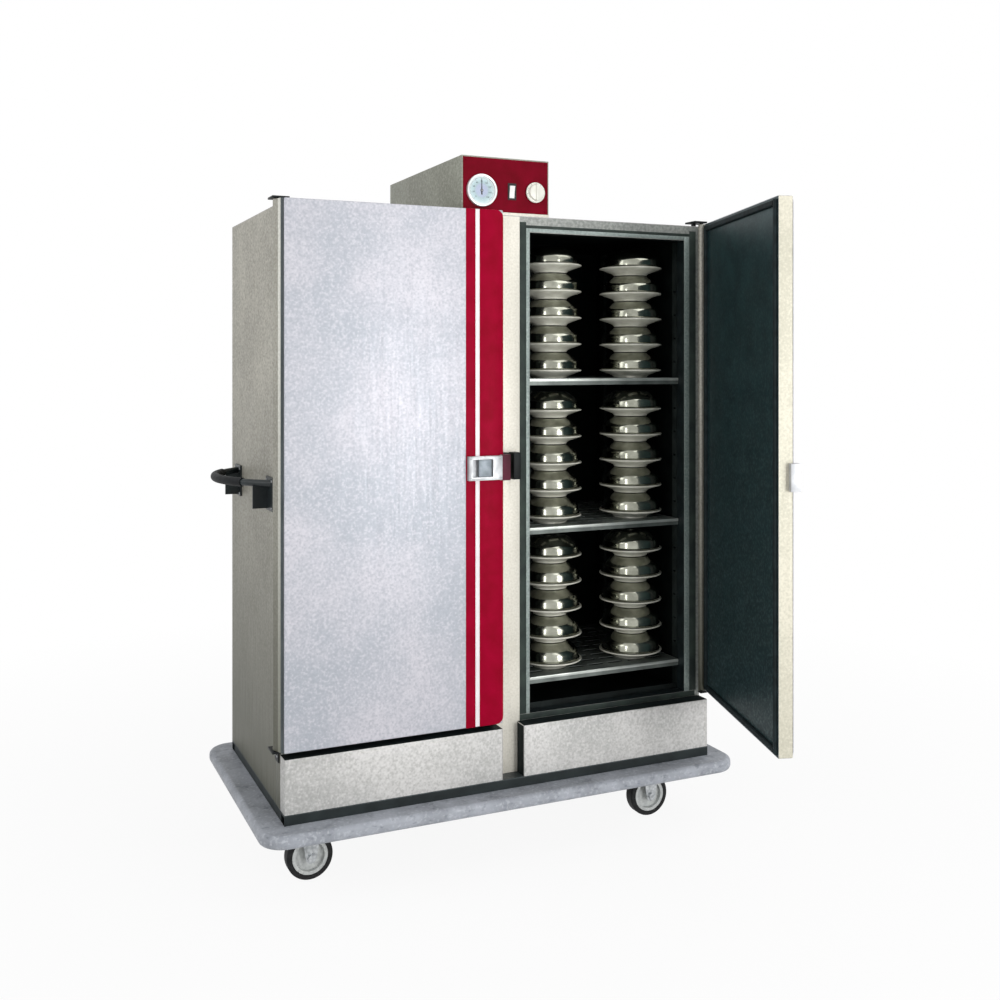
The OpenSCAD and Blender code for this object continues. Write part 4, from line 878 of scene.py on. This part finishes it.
finish("rocker_switch", enamel("moulded_white_nylon", "#E6E4E2", "#F1EFED", 0.3, peel_mm=5.0))


# Thermometer: a chromed case with a rolled rim, a printed dial with plain numbers, a pointer
# and a flat glass.
case_low, case_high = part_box("thermometer_case")
dial_middle = Vector(((case_low.x + case_high.x) / 2, panel_low.y, (case_low.z + case_high.z) / 2))
on_dial = Matrix.Translation(dial_middle) @ face_front
case_chrome = satin_chrome("satin_chrome_case", "#D6DADB", "#EAEDED", 0.28)
finish("thermometer_case", case_chrome)
finish("thermometer_needle", black_nylon)
rim = turned("dial_rim", [(0.0391, 0.0066), (0.0394, 0.0079), (0.0410, 0.0088), (0.0434, 0.0088),
                          (0.0451, 0.0078), (0.0456, 0.0060), (0.0456, 0.0004), (0.0451, 0.0004),
                          (0.0451, 0.0066), (0.0391, 0.0066)], 64)
rim.data.transform(on_dial)
fit(rim, "cabinet", "dial_white", case_chrome)

dial_paper, tree, shader, place = coat("printed_dial_card", 0.0, 0.5)
dial_r = 0.039
# Painted reflection: rings of bluish tone round the middle of the dial card stand for the reflection in its glass;
# the pale card tint is its own.
from_middle = add(tree, "ShaderNodeVectorMath", {0: place, 1: tuple(dial_middle)}, operation="DISTANCE")
dial_tone_and_reflection = add(tree, "ShaderNodeValToRGB",
                    {"Fac": vary(tree, from_middle.outputs["Value"], 0.0, 1.0, 0.0, dial_r)})
ramp = dial_tone_and_reflection.color_ramp
ramp.elements[0].color = linear("#A9B0CC")
ramp.elements[1].color = linear("#D9E3E4")
for position, tone in ((0.45, "#A5B2C8"), (0.55, "#A0B9BF"), (0.8, "#B6CED1")):
    ramp.elements.new(position).color = linear(tone)
grainy = vary(tree, speckle(tree, place, 2), 0.0, 0.12)
tone = overlay(tree, grainy, dial_tone_and_reflection.outputs["Color"], linear("#FFFFFF"))
tree.links.new(tone, shader.inputs["Base Color"])
card = turned("dial_card", [(0.0020, 0.0020), (0.0020, 0.00212), (0.0388, 0.00212), (0.0388, 0.0020),
                            (0.0020, 0.0020)], 64)
card.data.transform(on_dial)
fit(card, "cabinet", "dial_white", dial_paper)

print_black = enamel("black_dial_print", "#1B2022", "#2A3033", 0.6, 0.2)
print_half = 0.00004


def numeral(text, size, place):
    """A plain printed number, turned into a mesh where the matrix place says."""
    deselect()
    bpy.ops.object.text_add()
    made = bpy.context.object
    made.data.body = text
    made.data.size = size
    made.data.align_x = "CENTER"
    made.data.align_y = "CENTER"
    made.data.extrude = print_half
    bpy.ops.object.convert(target="MESH")
    made.data.transform(place)
    return made


dial_start = 225
dial_sweep = 270
scale_r = 0.0365
long_tick = 0.0055
short_tick = 0.0028
tick_half = 0.0003
number_r = 0.0255
number_size = 0.0066
print_z = 0.0022
dial_print = []
for step in range(41):
    turn = radians(dial_start - dial_sweep * step / 40)
    length = short_tick if step % 5 else long_tick
    tick = block("dial_tick", (scale_r - length, -tick_half, print_z - print_half),
                 (scale_r, tick_half, print_z + print_half))
    tick.data.transform(on_dial @ Matrix.Rotation(turn, 4, "Z"))
    dial_print.append(tick)
for step in range(9):
    turn = radians(dial_start - dial_sweep * step / 8)
    spot = Vector((number_r * cos(turn), number_r * sin(turn), print_z))
    dial_print.append(numeral(str(20 * step), number_size, on_dial @ Matrix.Translation(spot)))
fit(joined("dial_marks", dial_print), "cabinet", "dial_white", print_black)

glass, tree, shader, place = coat("clear_dial_glass", 0.0, 0.03, **{"Transmission Weight": 1.0, "IOR": 1.1})
shader.inputs["Base Color"].default_value = linear("#FFFFFF")
raise_grain(tree, shader, speckle(tree, place, 20), 0.01, 0.1)
finish("thermometer_lens", glass)


# Thermostat knob: moulded ivory resin with a raised grip. Plain numbers are printed round
# its skirt.
knob_resin = enamel("moulded_ivory_resin", "#DCDDD2", "#ECECE2", 0.32, peel_mm=5.0)
knob = softened("thermostat_knob", "thermostat_grip", 0.0009)
fit(knob, "knob", "knob_plastic", knob_resin, "thermostat_knob")
knob_low, knob_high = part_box("thermostat_knob")
knob_middle = Vector(((knob_low.x + knob_high.x) / 2, knob_high.y, (knob_low.z + knob_high.z) / 2))
skirt_t = 0.005
knob_start = 255
knob_sweep = 300
skirt_number_r = 0.0254
skirt_number_size = 0.0052
knob_print = []
for step in range(1, 9):
    turn = radians(knob_start - knob_sweep * step / 9)
    spot = Vector((skirt_number_r * cos(turn), -skirt_t - print_half, skirt_number_r * sin(turn)))
    on_knob = Matrix.Translation(knob_middle + spot) @ Matrix.Rotation(pi / 2 - turn, 4, "Y") @ face_front
    knob_print.append(numeral(str(step), skirt_number_size, on_knob))
fit(joined("knob_marks", knob_print), "knob", "knob_plastic", print_black)


# Heater and blower: a tubular element whose sheath has oxidised brown, a motor in grey enamel
# and a wheel of bright aluminium. All are hidden by the roof box.
finish("heater_element", darkened_sheet("oxidised_heater_sheath", "#3A3028", "#5E5044", 0.5))
finish("blower_motor", enamel("motor_grey_enamel", "#33373B", "#45494E"))
finish("blower_wheel", rolled_sheet("blower_aluminium", "#92969A", "#AEB1B4", "#85898C", "#C0C2C4"))


# Push handle: a bowed steel tube with foot plates, enamelled black, and a black rubber sleeve
# over its bow. Four screws hold each foot plate to the side.
finish("push_handle", enamel("black_handle_enamel", "#141A1C", "#252D2F", 0.4, 0.35))
grip_rubber, tree, shader, place = coat("dipped_black_rubber", 0.0, 0.6, **{"Specular IOR Level": 0.2})
tone = blend_tones(tree, speckle(tree, place, 12), "#0B0D0F", "#181B1E")
tree.links.new(tone, shader.inputs["Base Color"])
raise_grain(tree, shader, speckle(tree, place, 2), 0.2)
finish("handle_grip", grip_rubber)
handle_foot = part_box("push_handle")[0].z
foot_plate_t = 0.005
foot_plate_x = side_low.x - foot_plate_t
foot_screw_y = (0.172, 0.232)
foot_screw_rise = (0.008, 0.080)
fastened(screw, "handle_screws", face_left,
         [(foot_plate_x, s * y, handle_foot + rise)
          for s in (-1, 1) for y in foot_screw_y for rise in foot_screw_rise])

for head in (rivet, screw):
    bpy.data.objects.remove(head)
